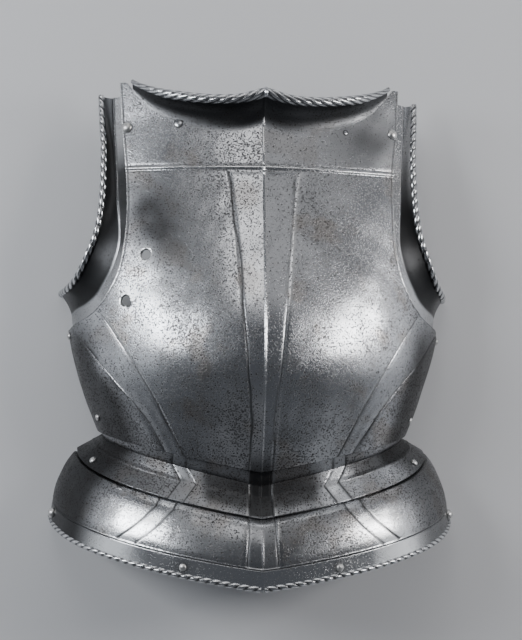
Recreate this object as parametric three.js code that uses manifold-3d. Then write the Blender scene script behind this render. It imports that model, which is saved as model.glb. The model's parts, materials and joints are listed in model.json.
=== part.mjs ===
// Steel breastplate of a cuirass with waist plate, skirt lame and arm gussets.
// It lies on its back edges. Millimetres: +X to its left arm, +Y to the neck, +Z out of the chest.

import * as THREE from 'three';
import { mergeVertices } from 'three/addons/utils/BufferGeometryUtils.js';
import Module from 'manifold-3d';

const wasm = await Module();
wasm.setup();

// ---------------------------------------------------------------- driving sizes

const PLATE = 2.0;            // wall of the breastplate
const LAME = 1.6;             // wall of the waist plate, skirt and gussets
const GAP = 1.0;              // air between two plates that lie on each other
const UNDER_PLATE = PLATE + GAP;
const UNDER_LAME = LAME + GAP;
const ROUNDNESS = 0.9;        // 1 is an ellipse, less fills out the corners of a section
const ARMPIT_Y = -13;         // where the armhole meets the side edge
const BOX_MIDDLE_Y = -6.35;    // middle of the whole part on the scale of the tables
const QUARTER = Math.PI / 2;
const UP = new THREE.Vector3(0, 1, 0);

// Cross sections of the trunk, each at one height.
const TRUNK = [
  { y: -165, halfWidth: 132, depth: 117, keel: 0.05 },
  { y: -141, halfWidth: 139, depth: 121, keel: 0.06 },
  { y: -108, halfWidth: 152, depth: 133, keel: 0.09 },
  { y: -71, halfWidth: 166, depth: 145, keel: 0.13 },
  { y: -35, halfWidth: 177, depth: 150, keel: 0.16 },
  { y: -9, halfWidth: 182, depth: 148, keel: 0.19 },
  { y: 36, halfWidth: 185, depth: 137, keel: 0.22 },
  { y: 91, halfWidth: 186, depth: 118, keel: 0.25 },
  { y: 140, halfWidth: 184, depth: 102, keel: 0.27 },
  { y: 180, halfWidth: 180, depth: 92, keel: 0.28 },
  { y: 225, halfWidth: 172, depth: 84, keel: 0.28 },
];

// Edge of the armhole on the breastplate.
const ARMHOLE = [
  { y: -13, x: 181.4 },
  { y: -7, x: 175 },
  { y: 0, x: 163 },
  { y: 13.5, x: 148 },
  { y: 25.5, x: 140.7 },
  { y: 39.5, x: 134.2 },
  { y: 56, x: 129.8 },
  { y: 72, x: 127.4 },
  { y: 98, x: 126 },
  { y: 125, x: 126.7 },
  { y: 150, x: 128.5 },
  { y: 180, x: 131.5 },
  { y: 224, x: 134.5 },
];

// Foot of the neck flange on the chest, and the shoulder end beyond it.
const NECKLINE = [
  { x: 0, y: 182 },
  { x: 20, y: 177 },
  { x: 45, y: 178 },
  { x: 70, y: 184 },
  { x: 92, y: 193 },
  { x: 110, y: 205 },
  { x: 121, y: 215 },
  { x: 126, y: 222 },
  { x: 135, y: 224 },
];

// Neck flange: how far its rolled edge stands from its foot, by the share of the way to the shoulder.
const NECK_FLANGE = [
  { share: 0, rise: 25, forward: 20 },
  { share: 0.15, rise: 25, forward: 20 },
  { share: 0.37, rise: 23, forward: 19 },
  { share: 0.7, rise: 17, forward: 15 },
  { share: 0.87, rise: 12, forward: 10 },
  { share: 1, rise: 7, forward: 6 },
];
const NECK_FLANGE_HALF = 122;
const NECK_ROLL_RADIUS = 4.6;

// Levels of the waist plate and the skirt, from the waist down. Each is a section of the body whose
// height changes from centreY at the ridge to sideY at the side edge; bow lifts its middle.
const WAIST_LEVEL = { centreY: -139, sideY: -108, bow: 0.16 };
const LEVELS = [
  { name: 'hollow', halfWidth: 146, depth: 117, keel: 0.07, centreY: -151, sideY: -112, bow: 0.12 },
  { name: 'turn', halfWidth: 155, depth: 121, keel: 0.08, centreY: -163, sideY: -117, bow: 0.06 },
  { name: 'flangeMiddle', halfWidth: 163, depth: 128, keel: 0.1, centreY: -170.5, sideY: -121.5, bow: 0.03 },
  { name: 'seam', halfWidth: 171, depth: 135, keel: 0.12, centreY: -178, sideY: -126, bow: 0 },
  { name: 'swell', halfWidth: 180, depth: 143, keel: 0.13, centreY: -184, sideY: -138, bow: 0 },
  { name: 'upper', halfWidth: 187, depth: 149, keel: 0.14, centreY: -196, sideY: -152, bow: 0 },
  { name: 'middle', halfWidth: 191, depth: 152, keel: 0.14, centreY: -209, sideY: -163, bow: 0 },
  { name: 'border', halfWidth: 193, depth: 153, keel: 0.14, centreY: -221.6, sideY: -173, bow: 0 },
  { name: 'rim', halfWidth: 195, depth: 151, keel: 0.14, centreY: -238, sideY: -189, bow: 0 },
];
const WAIST_TUCK = 24;        // length of the waist plate under the breastplate
const SKIRT_END = 0.983;      // share of the half circle that the skirt covers, clear of the floor
const SKIRT_END_SLACK = 2;    // extra air under the flange behind the skirt's pivots
const RIM_ROLL_RADIUS = 2.7;
const SKIRT_TUCK = 0.2;       // share of a level by which the skirt passes up under the flange

// Decoration: flat sunk bands. The middle one follows the ridge, the other two run from the foot of
// each armhole to the waist and fan out again over the skirt.
const BAND_DEPTH = 0.9;
const CHEST_BAND = [
  { y: 138.5, half: 33 },
  { y: 110, half: 29.5 },
  { y: 80, half: 26.3 },
  { y: 50, half: 24 },
  { y: 20, half: 21.5 },
  { y: -30, half: 17.3 },
  { y: -80, half: 13.5 },
  { y: -141, half: 10.6 },
];
const CHEST_SASH = [
  { innerX: 148, innerY: 4.5, outerX: 171.5, outerY: -16.5 },
  { innerX: 136, innerY: -12, outerX: 159, outerY: -31 },
  { innerX: 121, innerY: -34, outerX: 145.5, outerY: -46 },
  { innerX: 110, innerY: -51, outerX: 128, outerY: -65 },
  { innerX: 96, innerY: -74, outerX: 110.5, outerY: -86 },
  { innerX: 83, innerY: -98, outerX: 94.5, outerY: -111 },
  { innerX: 69, innerY: -126, outerX: 88, outerY: -122 },
];
// Below the waist the same bands by level: half width of the middle one, and x of the other's lines.
const WAIST_BANDS = [
  { level: 'hollow', middle: 10.4, inner: 66.5, outer: 81 },
  { level: 'turn', middle: 10.4, inner: 57, outer: 72 },
  { level: 'seam', middle: 11.4, inner: 70, outer: 85 },
];
const SKIRT_BANDS = [
  { level: 'swell', middle: 12.8, inner: 78, outer: 95 },
  { level: 'border', middle: 15.2, inner: 112, outer: 130 },
];

// Round holes through the right breast, where a lance rest was bolted on.
const REST_HOLES = [
  { x: 107.2, y: 58, radius: 4.6 },
  { x: 125, y: 15.5, radius: 4.7 },
];

// Rivets. The head is a low dome, and the tail is peened flat inside the plates.
const RIVETS = {
  shoulder: { head: 4.9, rise: 3.6, shank: 2.4, tail: 4 },
  foot: { head: 3.6, rise: 2.6, shank: 1.8, tail: 3.4 },
  waist: { head: 3.4, rise: 2.4, shank: 1.7, tail: 3.2 },
  flange: { head: 3.6, rise: 2.8, shank: 2, tail: 3.6 },
  strap: { head: 4.2, rise: 4.2, shank: 2.2, tail: 5 },
  rim: { head: 3.5, rise: 2.6, shank: 1.7, tail: 3.2 },
};
const RIVET_AIR = 0.3;        // air round a shank and under a head
const TAIL_THICKNESS = 1.4;
const GUSSET_SLOT = 4.4;      // travel of a gusset past its foot rivet

// Gusset: each row joins a height on the armhole's edge to a point of the gusset's roped rim.
const GUSSET = [
  { edgeY: 212, rimX: 152, rimY: 213, rimZ: 32, strip: 10.5 },
  { edgeY: 190, rimX: 150.5, rimY: 190, rimZ: 41, strip: 10.5 },
  { edgeY: 163, rimX: 148.4, rimY: 163, rimZ: 50.5, strip: 11 },
  { edgeY: 140, rimX: 148, rimY: 138, rimZ: 57.5, strip: 11.5 },
  { edgeY: 115, rimX: 148.5, rimY: 113, rimZ: 64, strip: 11.5 },
  { edgeY: 91, rimX: 151, rimY: 90, rimZ: 68, strip: 8.5 },
  { edgeY: 70, rimX: 155.5, rimY: 72, rimZ: 69.5, strip: 6.5 },
  { edgeY: 52, rimX: 161.5, rimY: 57, rimZ: 67, strip: 8.5 },
  { edgeY: 36, rimX: 167.5, rimY: 44, rimZ: 61, strip: 10.5 },
  { edgeY: 22, rimX: 173, rimY: 35, rimZ: 53, strip: 12 },
  { edgeY: 10, rimX: 178, rimY: 29.5, rimZ: 43, strip: 12.5 },
  { edgeY: 0, rimX: 182.5, rimY: 26, rimZ: 32, strip: 13 },
  { edgeY: -7, rimX: 186, rimY: 24.5, rimZ: 17, strip: 13.5 },
  { edgeY: -12, rimX: 189, rimY: 23, rimZ: 2.9, strip: 14 },
];
const UNDER_GUSSET = 3.6;     // depth of a gusset under the breastplate's outer face
const GUSSET_FOOT_AIR = 1.3;  // more air at its foot, where the plates bend sharply
const GUSSET_TUCK = 15;       // width of the gusset under the breastplate
const GUSSET_ROLL_RADIUS = 2.7;

// ---------------------------------------------------------------- curves and surfaces

// Smooth curve through one column of a table whose rows stand at another column.
function column(table, key, name) {
  const rows = [...table].sort((a, b) => a[key] - b[key]);
  const at = rows.map((row) => row[key]);
  const value = rows.map((row) => row[name]);
  const last = rows.length - 1;
  const chord = (i) => (value[i + 1] - value[i]) / (at[i + 1] - at[i]);
  const slope = value.map((_, i) => {
    if (i === 0) return chord(0);
    if (i === last) return chord(last - 1);
    const before = at[i] - at[i - 1];
    const after = at[i + 1] - at[i];
    return (chord(i - 1) * after + chord(i) * before) / (before + after);
  });
  return (x) => {
    let i = 0;
    while (i < last - 1 && x > at[i + 1]) i += 1;
    const width = at[i + 1] - at[i];
    const t = THREE.MathUtils.clamp((x - at[i]) / width, 0, 1);
    const s = 1 - t;
    const ends = value[i] * (1 + 2 * t) * s * s + value[i + 1] * (3 - 2 * t) * t * t;
    return ends + width * t * s * (slope[i] * s - slope[i + 1] * t);
  };
}

const trunkWidth = column(TRUNK, 'y', 'halfWidth');
const trunkDepth = column(TRUNK, 'y', 'depth');
const trunkKeel = column(TRUNK, 'y', 'keel');
const armholeX = column(ARMHOLE, 'y', 'x');
const necklineY = column(NECKLINE, 'x', 'y');

// Point of a section at an angle from the ridge: 0 is the ridge, a quarter turn the side edge.
function onSection(angle, y, { halfWidth, depth, keel }) {
  const across = Math.sin(Math.abs(angle)) ** ROUNDNESS;
  const deep = Math.max(0, Math.cos(angle)) ** ROUNDNESS;
  const z = depth * ((1 - keel) * deep + keel * (1 - across));
  return new THREE.Vector3(Math.sign(angle) * halfWidth * across, y, z);
}

function trunk(angle, y) {
  return onSection(angle, y, { halfWidth: trunkWidth(y), depth: trunkDepth(y), keel: trunkKeel(y) });
}

// Angle at which the trunk's section at height y reaches x.
function angleAt(x, y) {
  return Math.asin(THREE.MathUtils.clamp(x / trunkWidth(y), 0, 1) ** (1 / ROUNDNESS));
}

function armholeAngle(y) {
  return y <= ARMPIT_Y ? QUARTER : angleAt(armholeX(y), y);
}

function levelY(level, angle) {
  const t = Math.abs(angle) / QUARTER;
  return level.centreY + (level.sideY - level.centreY) * (t + 4 * level.bow * t * (1 - t));
}

function onLevel(name, angle) {
  const level = LEVELS.find((row) => row.name === name);
  return onSection(angle, levelY(level, angle), level);
}

// Outward normal of a surface given as a function of two parameters.
function normalOf(surface, u, v, du, dv) {
  const alongU = surface(u + du, v).sub(surface(u - du, v));
  const alongV = surface(u, v + dv).sub(surface(u, v - dv));
  const normal = alongU.cross(alongV).normalize();
  const point = surface(u, v);
  const outward = new THREE.Vector3(point.x, 0, point.z + 1);
  return normal.dot(outward) < 0 ? normal.negate() : normal;
}

function trunkNormal(angle, y) {
  const inside = THREE.MathUtils.clamp(angle, -QUARTER + 0.02, QUARTER - 0.02);
  return normalOf(trunk, inside, y, 0.015, 1);
}

// Point under the trunk's outer face. The side edges end level, on the plane that they rest on.
function underTrunk(angle, y, depth) {
  const point = trunk(angle, y).addScaledVector(trunkNormal(angle, y), -depth);
  point.z = Math.max(0, point.z);
  return point;
}

// Angle of the trunk point nearest to a given point of the same height.
function nearestAngle(point) {
  let low = 0;
  let high = QUARTER;
  for (let i = 0; i < 30; i += 1) {
    const third = (high - low) / 3;
    const near = trunk(low + third, point.y).distanceTo(point);
    const far = trunk(high - third, point.y).distanceTo(point);
    if (near < far) high -= third;
    else low += third;
  }
  return (low + high) / 2;
}

// ---------------------------------------------------------------- solids

function geometryOf(points, faces) {
  const geometry = new THREE.BufferGeometry();
  geometry.setAttribute('position', new THREE.Float32BufferAttribute(points.flatMap((p) => p.toArray()), 3));
  geometry.setIndex(faces);
  return geometry;
}

function signedVolume(geometry) {
  const position = geometry.getAttribute('position');
  const index = geometry.getIndex().array;
  const corner = [new THREE.Vector3(), new THREE.Vector3(), new THREE.Vector3()];
  let volume = 0;
  for (let i = 0; i < index.length; i += 3) {
    corner.forEach((vector, k) => vector.fromBufferAttribute(position, index[i + k]));
    volume += corner[0].dot(corner[1].cross(corner[2])) / 6;
  }
  return volume;
}

// Closed solid that faces outward.
function solid(source) {
  const bare = source.clone();
  bare.deleteAttribute('normal');
  bare.deleteAttribute('uv');
  const merged = mergeVertices(bare, 1e-4);
  const triVerts = Uint32Array.from(merged.getIndex().array);
  if (signedVolume(merged) < 0) triVerts.reverse();
  const vertProperties = Float32Array.from(merged.getAttribute('position').array);
  return new wasm.Manifold(new wasm.Mesh({ numProp: 3, vertProperties, triVerts }));
}

function geometryFrom(manifold) {
  const mesh = manifold.getMesh();
  const geometry = new THREE.BufferGeometry();
  geometry.setAttribute('position', new THREE.Float32BufferAttribute(mesh.vertProperties, 3));
  geometry.setIndex([...mesh.triVerts]);
  geometry.computeVertexNormals();
  return geometry;
}

// Plate whose outer face is a grid of points and whose inner face lies one wall below it.
function plateFrom(outer, wall) {
  const rows = outer.length;
  const across = outer[0].length;
  const inner = outer.map((row, i) => row.map((point, j) => {
    const alongRow = outer[i][Math.min(j + 1, across - 1)].clone().sub(outer[i][Math.max(j - 1, 0)]);
    const downRows = outer[Math.min(i + 1, rows - 1)][j].clone().sub(outer[Math.max(i - 1, 0)][j]);
    return point.clone().addScaledVector(alongRow.cross(downRows).normalize(), wall);
  }));
  return plateBetween(outer, inner);
}

function plateBetween(outer, inner) {
  const rows = outer.length;
  const across = outer[0].length;
  const count = rows * across;
  const points = [...outer.flat(), ...inner.flat()];
  const faces = [];
  const quad = (a, b, c, d) => faces.push(a, b, c, a, c, d);
  for (let i = 0; i < rows - 1; i += 1) {
    for (let j = 0; j < across - 1; j += 1) {
      const a = i * across + j;
      quad(a, a + across, a + across + 1, a + 1);
      quad(count + a, count + a + 1, count + a + across + 1, count + a + across);
    }
  }
  const rim = [];
  for (let j = 0; j < across - 1; j += 1) rim.push(j);
  for (let i = 0; i < rows - 1; i += 1) rim.push(i * across + across - 1);
  for (let j = across - 1; j > 0; j -= 1) rim.push((rows - 1) * across + j);
  for (let i = rows - 1; i > 0; i -= 1) rim.push(i * across);
  rim.forEach((a, k) => {
    const b = rim[(k + 1) % rim.length];
    quad(a, b, count + b, count + a);
  });
  return solid(geometryOf(points, faces));
}

// Round rolled edge along a line of points.
function roll(points, radius, steps) {
  const circle = new THREE.Shape();
  circle.absarc(0, 0, radius, 0, 2 * Math.PI);
  const path = new THREE.CatmullRomCurve3(points);
  const settings = { steps, curveSegments: 4, bevelEnabled: false, extrudePath: path };
  return solid(new THREE.ExtrudeGeometry(circle, settings));
}

// Cylinder across a plate, centred on a point of it.
function bar(point, axis, radius, length, sides = 8) {
  const geometry = new THREE.CylinderGeometry(radius, radius, length, sides);
  geometry.applyQuaternion(new THREE.Quaternion().setFromUnitVectors(UP, axis));
  geometry.translate(point.x, point.y, point.z);
  return solid(geometry);
}

// Even steps from one number to another, both ends included.
function steps(from, to, count) {
  return Array.from({ length: count + 1 }, (_, i) => from + ((to - from) * i) / count);
}

// ---------------------------------------------------------------- breastplate

// Shares of the way from the neckline down to the waist, and from the ridge out to the side.
const CHEST_ROWS = [1, 0.93, 0.86, 0.79, 0.72, 0.65, 0.58, 0.515, 0.46, 0.415, 0.377, 0.347, 0.322,
  0.302, 0.286, 0.24, 0.18, 0.11, 0.04, 0];
const CHEST_COLUMNS = [0, 0.05, 0.16, 0.28, 0.4, 0.52, 0.63, 0.73, 0.81, 0.88, 0.94, 1];
const mirrored = (shares) => [...shares.slice(1).map((share) => -share).reverse(), ...shares];

// Height at which a column of the chest meets the neckline.
function chestTop(share) {
  let y = necklineY(0);
  for (let i = 0; i < 25; i += 1) {
    y = necklineY(Math.abs(trunk(share * armholeAngle(y), y).x));
  }
  return y;
}

function chestPoint(share, up) {
  const bottom = levelY(WAIST_LEVEL, share * QUARTER);
  const y = bottom + (chestTop(share) - bottom) * up;
  return { angle: share * armholeAngle(y), y };
}

function neckFoot(share) {
  const x = Math.abs(share) * NECK_FLANGE_HALF;
  const y = necklineY(x);
  return trunk(Math.sign(share) * angleAt(x, y), y);
}

const neckRise = column(NECK_FLANGE, 'share', 'rise');
const neckForward = column(NECK_FLANGE, 'share', 'forward');

function neckEdge(share) {
  const away = Math.abs(share);
  return neckFoot(share).add(new THREE.Vector3(0, neckRise(away), neckForward(away)));
}

// The flange starts inside the plate's wall and ends inside the roll.
function neckFlange() {
  const shares = steps(-1, 1, 24);
  const bend = [-0.12, 0.1, 0.4, 0.7, 1];
  const grid = bend.map((reach) => shares.map((share) => {
    const foot = neckFoot(share);
    const edge = neckEdge(share);
    const point = foot.clone().lerp(edge, reach);
    point.z -= 0.16 * foot.distanceTo(edge) * Math.sin(Math.PI * Math.max(0, reach));
    point.z -= reach < 0 ? 0.6 : 0;
    return point;
  }));
  return plateFrom(grid.reverse(), PLATE);
}

function breastplate() {
  const face = (depth) => CHEST_ROWS.map((up) => mirrored(CHEST_COLUMNS).map((share) => {
    const { angle, y } = chestPoint(share, up);
    return underTrunk(angle, y, depth);
  }));
  const neckRoll = roll(steps(-1, 1, 24).map(neckEdge), NECK_ROLL_RADIUS, 24);
  return plateBetween(face(0), face(PLATE)).add(neckFlange()).add(neckRoll);
}

// ---------------------------------------------------------------- waist plate and skirt

// The body's surface below the waist: 0 is the lower edge of the breastplate, and each whole step
// after it is the next row of LEVELS.
function flare(angle, step) {
  const rowAt = (i) => {
    if (i === 0) return trunk(angle, levelY(WAIST_LEVEL, angle));
    return onLevel(LEVELS[i - 1].name, angle);
  };
  const whole = THREE.MathUtils.clamp(Math.floor(step), 0, LEVELS.length - 1);
  return rowAt(whole).lerp(rowAt(whole + 1), step - whole);
}

function underFlare(angle, step, depth) {
  const inside = THREE.MathUtils.clamp(angle, -QUARTER + 0.02, QUARTER - 0.02);
  return flare(angle, step).addScaledVector(normalOf(flare, inside, step, 0.015, 0.35), -depth);
}

const STEP = Object.fromEntries(LEVELS.map((row, i) => [row.name, i + 1]));
const WAIST_ANGLES = steps(-QUARTER * 0.995, QUARTER * 0.995, 30);
const SKIRT_ANGLES = steps(-QUARTER * SKIRT_END, QUARTER * SKIRT_END, 30);

function sunkWaistPoint(angle, above) {
  return underTrunk(angle, levelY(WAIST_LEVEL, angle) + above, UNDER_PLATE);
}

function waistPlate() {
  const tuckedRow = (above) => WAIST_ANGLES.map((angle) => sunkWaistPoint(angle, above));
  const openRow = (name) => WAIST_ANGLES.map((angle) => onLevel(name, angle));
  const tucked = [WAIST_TUCK, WAIST_TUCK / 2, 0].map(tuckedRow);
  const open = ['hollow', 'turn', 'flangeMiddle', 'seam'].map(openRow);
  return plateFrom([...tucked, ...open], LAME);
}

// Air behind the skirt's pivots, so that its ends clear the flange as it swings.
function slack(angle) {
  const pastPivot = (Math.abs(angle) - SKIRT_PIVOT.angle) / (QUARTER - SKIRT_PIVOT.angle);
  return SKIRT_END_SLACK * Math.max(0, pastPivot);
}

function skirt() {
  const tuckedRow = (step) => SKIRT_ANGLES.map((angle) => underFlare(angle, step, UNDER_LAME + slack(angle)));
  const openRow = (name) => SKIRT_ANGLES.map((angle) => onLevel(name, angle));
  const tucked = [STEP.flangeMiddle - SKIRT_TUCK, STEP.seam].map(tuckedRow);
  const open = ['swell', 'upper', 'middle', 'border', 'rim'].map(openRow);
  const rim = SKIRT_ANGLES.map((angle) => underFlare(angle, STEP.rim - 0.02, LAME / 2));
  return plateFrom([...tucked, ...open], LAME).add(roll(rim, RIM_ROLL_RADIUS, 28));
}

// ---------------------------------------------------------------- sunk bands

// Shallow cutter over a surface, between two lines given as lists of surface parameters.
function bandCutter(surface, normal, left, right) {
  const over = 4;
  const across = [0, 0.5, 1];
  const layer = (height) => left.map((from, i) => across.map((share) => {
    const u = THREE.MathUtils.lerp(from[0], right[i][0], share);
    const v = THREE.MathUtils.lerp(from[1], right[i][1], share);
    return surface(u, v).addScaledVector(normal(u, v), height);
  }));
  return plateBetween(layer(over), layer(-BAND_DEPTH));
}

function flareNormal(angle, step) {
  return normalOf(flare, angle, step, 0.015, 0.35);
}

function chestBand() {
  const half = column(CHEST_BAND, 'y', 'half');
  const rows = steps(CHEST_BAND[0].y, CHEST_BAND.at(-1).y - 4, 9);
  const line = (side) => rows.map((y) => [side * angleAt(half(y), y), y]);
  return bandCutter(trunk, trunkNormal, line(-1), line(1));
}

function chestSash(side) {
  const places = CHEST_SASH.map((row, place) => ({ ...row, place }));
  const rows = steps(0, CHEST_SASH.length - 1, 9);
  const line = (x, y) => {
    const xAt = column(places, 'place', x);
    const yAt = column(places, 'place', y);
    return rows.map((place) => [side * angleAt(xAt(place), yAt(place)), yAt(place)]);
  };
  return bandCutter(trunk, trunkNormal, line('innerX', 'innerY'), line('outerX', 'outerY'));
}

// Angle at which a level reaches x.
function flareAngle(x, step) {
  const share = Math.abs(x) / flare(QUARTER, step).x;
  return Math.sign(x) * Math.asin(share ** (1 / ROUNDNESS));
}

// The three cutters of one plate, which may run past its last level.
function flareBands(table, past) {
  const rows = table.map((row) => ({ ...row, step: STEP[row.level] }));
  const first = rows[0].step;
  const last = rows.at(-1).step;
  const places = [...steps(first, last, 6), ...(past > 0 ? [last + past] : [])];
  const line = (name, side) => {
    const xAt = column(rows, 'step', name);
    return places.map((step) => [flareAngle(side * xAt(step), step), step]);
  };
  const middle = bandCutter(flare, flareNormal, line('middle', -1), line('middle', 1));
  const sash = bandCutter(flare, flareNormal, line('inner', 1), line('outer', 1));
  return [middle, ...both(sash)];
}

// ---------------------------------------------------------------- gussets

const gussetRows = GUSSET.map((row, place) => ({ ...row, place }));
const gussetAt = Object.fromEntries(['edgeY', 'rimX', 'rimY', 'rimZ', 'strip'].map(
  (name) => [name, column(gussetRows, 'place', name)],
));

function gussetRim(place) {
  return new THREE.Vector3(gussetAt.rimX(place), gussetAt.rimY(place), gussetAt.rimZ(place));
}

// One row of the left gusset's outer face, from its hidden edge to its rim.
function gussetRow(place) {
  const y = gussetAt.edgeY(place);
  const edge = trunk(armholeAngle(y), y);
  const rim = gussetRim(place);
  const along = trunk(armholeAngle(y - 1), y - 1).sub(trunk(armholeAngle(y + 1), y + 1));
  const outward = along.cross(trunkNormal(armholeAngle(y), y)).normalize();
  if (outward.dot(rim.clone().sub(edge)) < 0) outward.negate();
  const depth = UNDER_GUSSET + GUSSET_FOOT_AIR * (place / (GUSSET.length - 1)) ** 4;
  const onTrunk = (reach) => {
    const point = edge.clone().addScaledVector(outward, reach);
    return underTrunk(nearestAngle(point), point.y, depth);
  };
  const strip = onTrunk(gussetAt.strip(place));
  const cove = strip.clone().lerp(rim, 0.5).addScaledVector(trunkNormal(armholeAngle(y), y), -1.2);
  return [onTrunk(-GUSSET_TUCK), onTrunk(-GUSSET_TUCK / 2), onTrunk(0), strip, cove, rim];
}

function gusset() {
  const last = GUSSET.length - 1;
  const grid = steps(0, last, 18).map(gussetRow);
  const rim = steps(0, last, 20).map(gussetRim);
  return plateFrom(grid, LAME).add(roll(rim, GUSSET_ROLL_RADIUS, 18));
}

// ---------------------------------------------------------------- rivets

// Where each pair of rivets sits on the left side: point, outward normal, and depth of the plates.
function seatOnTrunk(x, y, depth) {
  const angle = angleAt(x, y);
  return { point: trunk(angle, y), normal: trunkNormal(angle, y), depth };
}

const SKIRT_PIVOT = { angle: THREE.MathUtils.degToRad(67), step: STEP.flangeMiddle + 0.25 };

function seatOnFlare(degrees, step, depth) {
  const angle = THREE.MathUtils.degToRad(degrees);
  return { point: flare(angle, step), normal: flareNormal(angle, step), depth };
}

const SEATS = {
  shoulder: seatOnTrunk(126.3, 179.5, UNDER_GUSSET + LAME),
  foot: seatOnTrunk(178.5, -18, UNDER_GUSSET + GUSSET_FOOT_AIR + LAME + 3.3),
  waist: seatOnTrunk(149.5, -94.5, UNDER_PLATE + LAME + 0.3),
  flange: seatOnFlare(67, SKIRT_PIVOT.step, UNDER_LAME + LAME + 0.6),
  strap: seatOnFlare(79, STEP.border + 0.5, LAME + 0.4),
  rim: seatOnFlare(18.5, STEP.border + 0.55, LAME + 0.4),
};

function rivet({ head, rise, shank, tail }, { depth }) {
  const deep = -(depth + RIVET_AIR);
  const end = deep - TAIL_THICKNESS;
  const dome = [[0, rise], [head * 0.72, rise * 0.7], [head, RIVET_AIR]];
  const profile = [...dome, [shank, RIVET_AIR], [shank, deep], [tail, deep], [tail, end], [0, end]];
  return new THREE.LatheGeometry(profile.map(([r, h]) => new THREE.Vector2(r, h)), 8);
}

function rivetSolid(name) {
  const seat = SEATS[name];
  const geometry = rivet(RIVETS[name], seat);
  geometry.applyQuaternion(new THREE.Quaternion().setFromUnitVectors(UP, seat.normal));
  geometry.translate(seat.point.x, seat.point.y, seat.point.z);
  return solid(geometry);
}

function rivetHole(name) {
  const { point, normal } = SEATS[name];
  return bar(point, normal, RIVETS[name].shank + RIVET_AIR, 24);
}

// Slot for the foot rivet: the holes that it passes through as the gusset swings.
function footSlot() {
  const pivot = SEATS.shoulder;
  const foot = SEATS.foot;
  const travel = foot.point.clone().sub(pivot.point).cross(pivot.normal).normalize();
  const radius = RIVETS.foot.shank + RIVET_AIR;
  const long = new THREE.BoxGeometry(GUSSET_SLOT, 24, 2 * radius);
  const across = travel.clone().cross(foot.normal).normalize();
  const flat = foot.normal.clone().cross(across).normalize();
  const turn = new THREE.Matrix4().makeBasis(flat, foot.normal, across);
  long.translate(-GUSSET_SLOT / 2, 0, 0);
  long.applyMatrix4(turn);
  long.translate(foot.point.x, foot.point.y, foot.point.z);
  const end = foot.point.clone().addScaledVector(flat, -GUSSET_SLOT);
  return solid(long).add(bar(foot.point, foot.normal, radius, 24)).add(bar(end, foot.normal, radius, 24));
}

// ---------------------------------------------------------------- assembly

const STEEL = { color: 0x8b8f94, roughness: 0.38, metalness: 1 };
const WORN_STEEL = { color: 0x7d8187, roughness: 0.45, metalness: 1 };
const DARK_STEEL = { color: 0x6a6d72, roughness: 0.42, metalness: 1 };
const BRIGHT_STEEL = { color: 0xb4b4b0, roughness: 0.28, metalness: 1 };

const mirror = new THREE.Matrix4().makeScale(-1, 1, 1);
const mirroredSolid = (manifold) => solid(geometryFrom(manifold).applyMatrix4(mirror));
const both = (manifold) => [manifold, mirroredSolid(manifold)];
const cut = (body, tools) => tools.reduce((left, tool) => left.subtract(tool), body);

const group = new THREE.Group();

function add(name, manifold, finish) {
  const geometry = geometryFrom(manifold).translate(0, -BOX_MIDDLE_Y, 0);
  const mesh = new THREE.Mesh(geometry, new THREE.MeshStandardMaterial(finish));
  mesh.name = name;
  group.add(mesh);
}

const restHoles = REST_HOLES.map(({ x, y, radius }) => {
  const angle = -angleAt(x, y);
  return bar(trunk(angle, y), trunkNormal(angle, y), radius, 16, 16);
});
const holesFor = (names) => names.flatMap((name) => both(rivetHole(name)));

add('breastplate', cut(breastplate(), [
  chestBand(), chestSash(1), chestSash(-1), ...restHoles, ...holesFor(['shoulder', 'foot', 'waist']),
]), STEEL);

add('waist_plate', cut(waistPlate(), [
  ...flareBands(WAIST_BANDS, 0.15), ...holesFor(['waist', 'flange']),
]), WORN_STEEL);

add('skirt', cut(skirt(), [
  ...flareBands(SKIRT_BANDS, 0), ...holesFor(['flange', 'strap', 'rim']),
]), STEEL);

const leftGusset = cut(gusset(), [rivetHole('shoulder'), footSlot()]);
add('gusset_left', leftGusset, DARK_STEEL);
add('gusset_right', mirroredSolid(leftGusset), DARK_STEEL);

Object.keys(SEATS).forEach((name) => {
  const [left, right] = both(rivetSolid(name));
  add(`${name}_rivet_left`, left, BRIGHT_STEEL);
  add(`${name}_rivet_right`, right, BRIGHT_STEEL);
});

export default group;
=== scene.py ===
# %% [markdown]
# # A steel breastplate
# The front half of a cuirass: a keeled chest plate, two arm gussets, a waist plate and one skirt lame,
# held together by rivets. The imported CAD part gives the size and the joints. This lesson gives every
# plate its fine shape (sunk bands, roped edges, rolled rims) and its worn, pitted steel.

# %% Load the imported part
import functools
import json
import math
import bmesh
import bpy
import numpy as np
from mathutils import Matrix, Vector


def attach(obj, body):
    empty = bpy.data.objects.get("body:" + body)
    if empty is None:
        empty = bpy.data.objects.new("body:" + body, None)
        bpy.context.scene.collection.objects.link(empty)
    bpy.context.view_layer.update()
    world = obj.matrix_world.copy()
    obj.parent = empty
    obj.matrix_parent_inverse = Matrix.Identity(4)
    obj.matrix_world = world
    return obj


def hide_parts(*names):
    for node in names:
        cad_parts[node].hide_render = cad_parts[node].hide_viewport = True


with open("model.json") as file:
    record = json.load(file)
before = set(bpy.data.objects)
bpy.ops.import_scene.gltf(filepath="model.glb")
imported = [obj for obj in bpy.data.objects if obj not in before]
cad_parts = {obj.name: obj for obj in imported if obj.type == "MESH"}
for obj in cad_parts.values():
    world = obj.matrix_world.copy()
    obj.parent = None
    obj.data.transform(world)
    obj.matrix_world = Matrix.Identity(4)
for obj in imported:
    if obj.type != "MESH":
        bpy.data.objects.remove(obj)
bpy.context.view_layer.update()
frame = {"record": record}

# %% [markdown]
# ## Curves through tables
# A smith works from a few measured widths and lets the hammer make the curve between them. A table of
# sections and a smooth curve through its columns does the same. Sizes are in millimetres, and a mesh is
# turned into metres only when it is made.

# %% Tables and curves
QUARTER = math.pi / 2
BOX_MIDDLE_Y = -6.35          # the tables' zero is not the middle of the whole part


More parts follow.
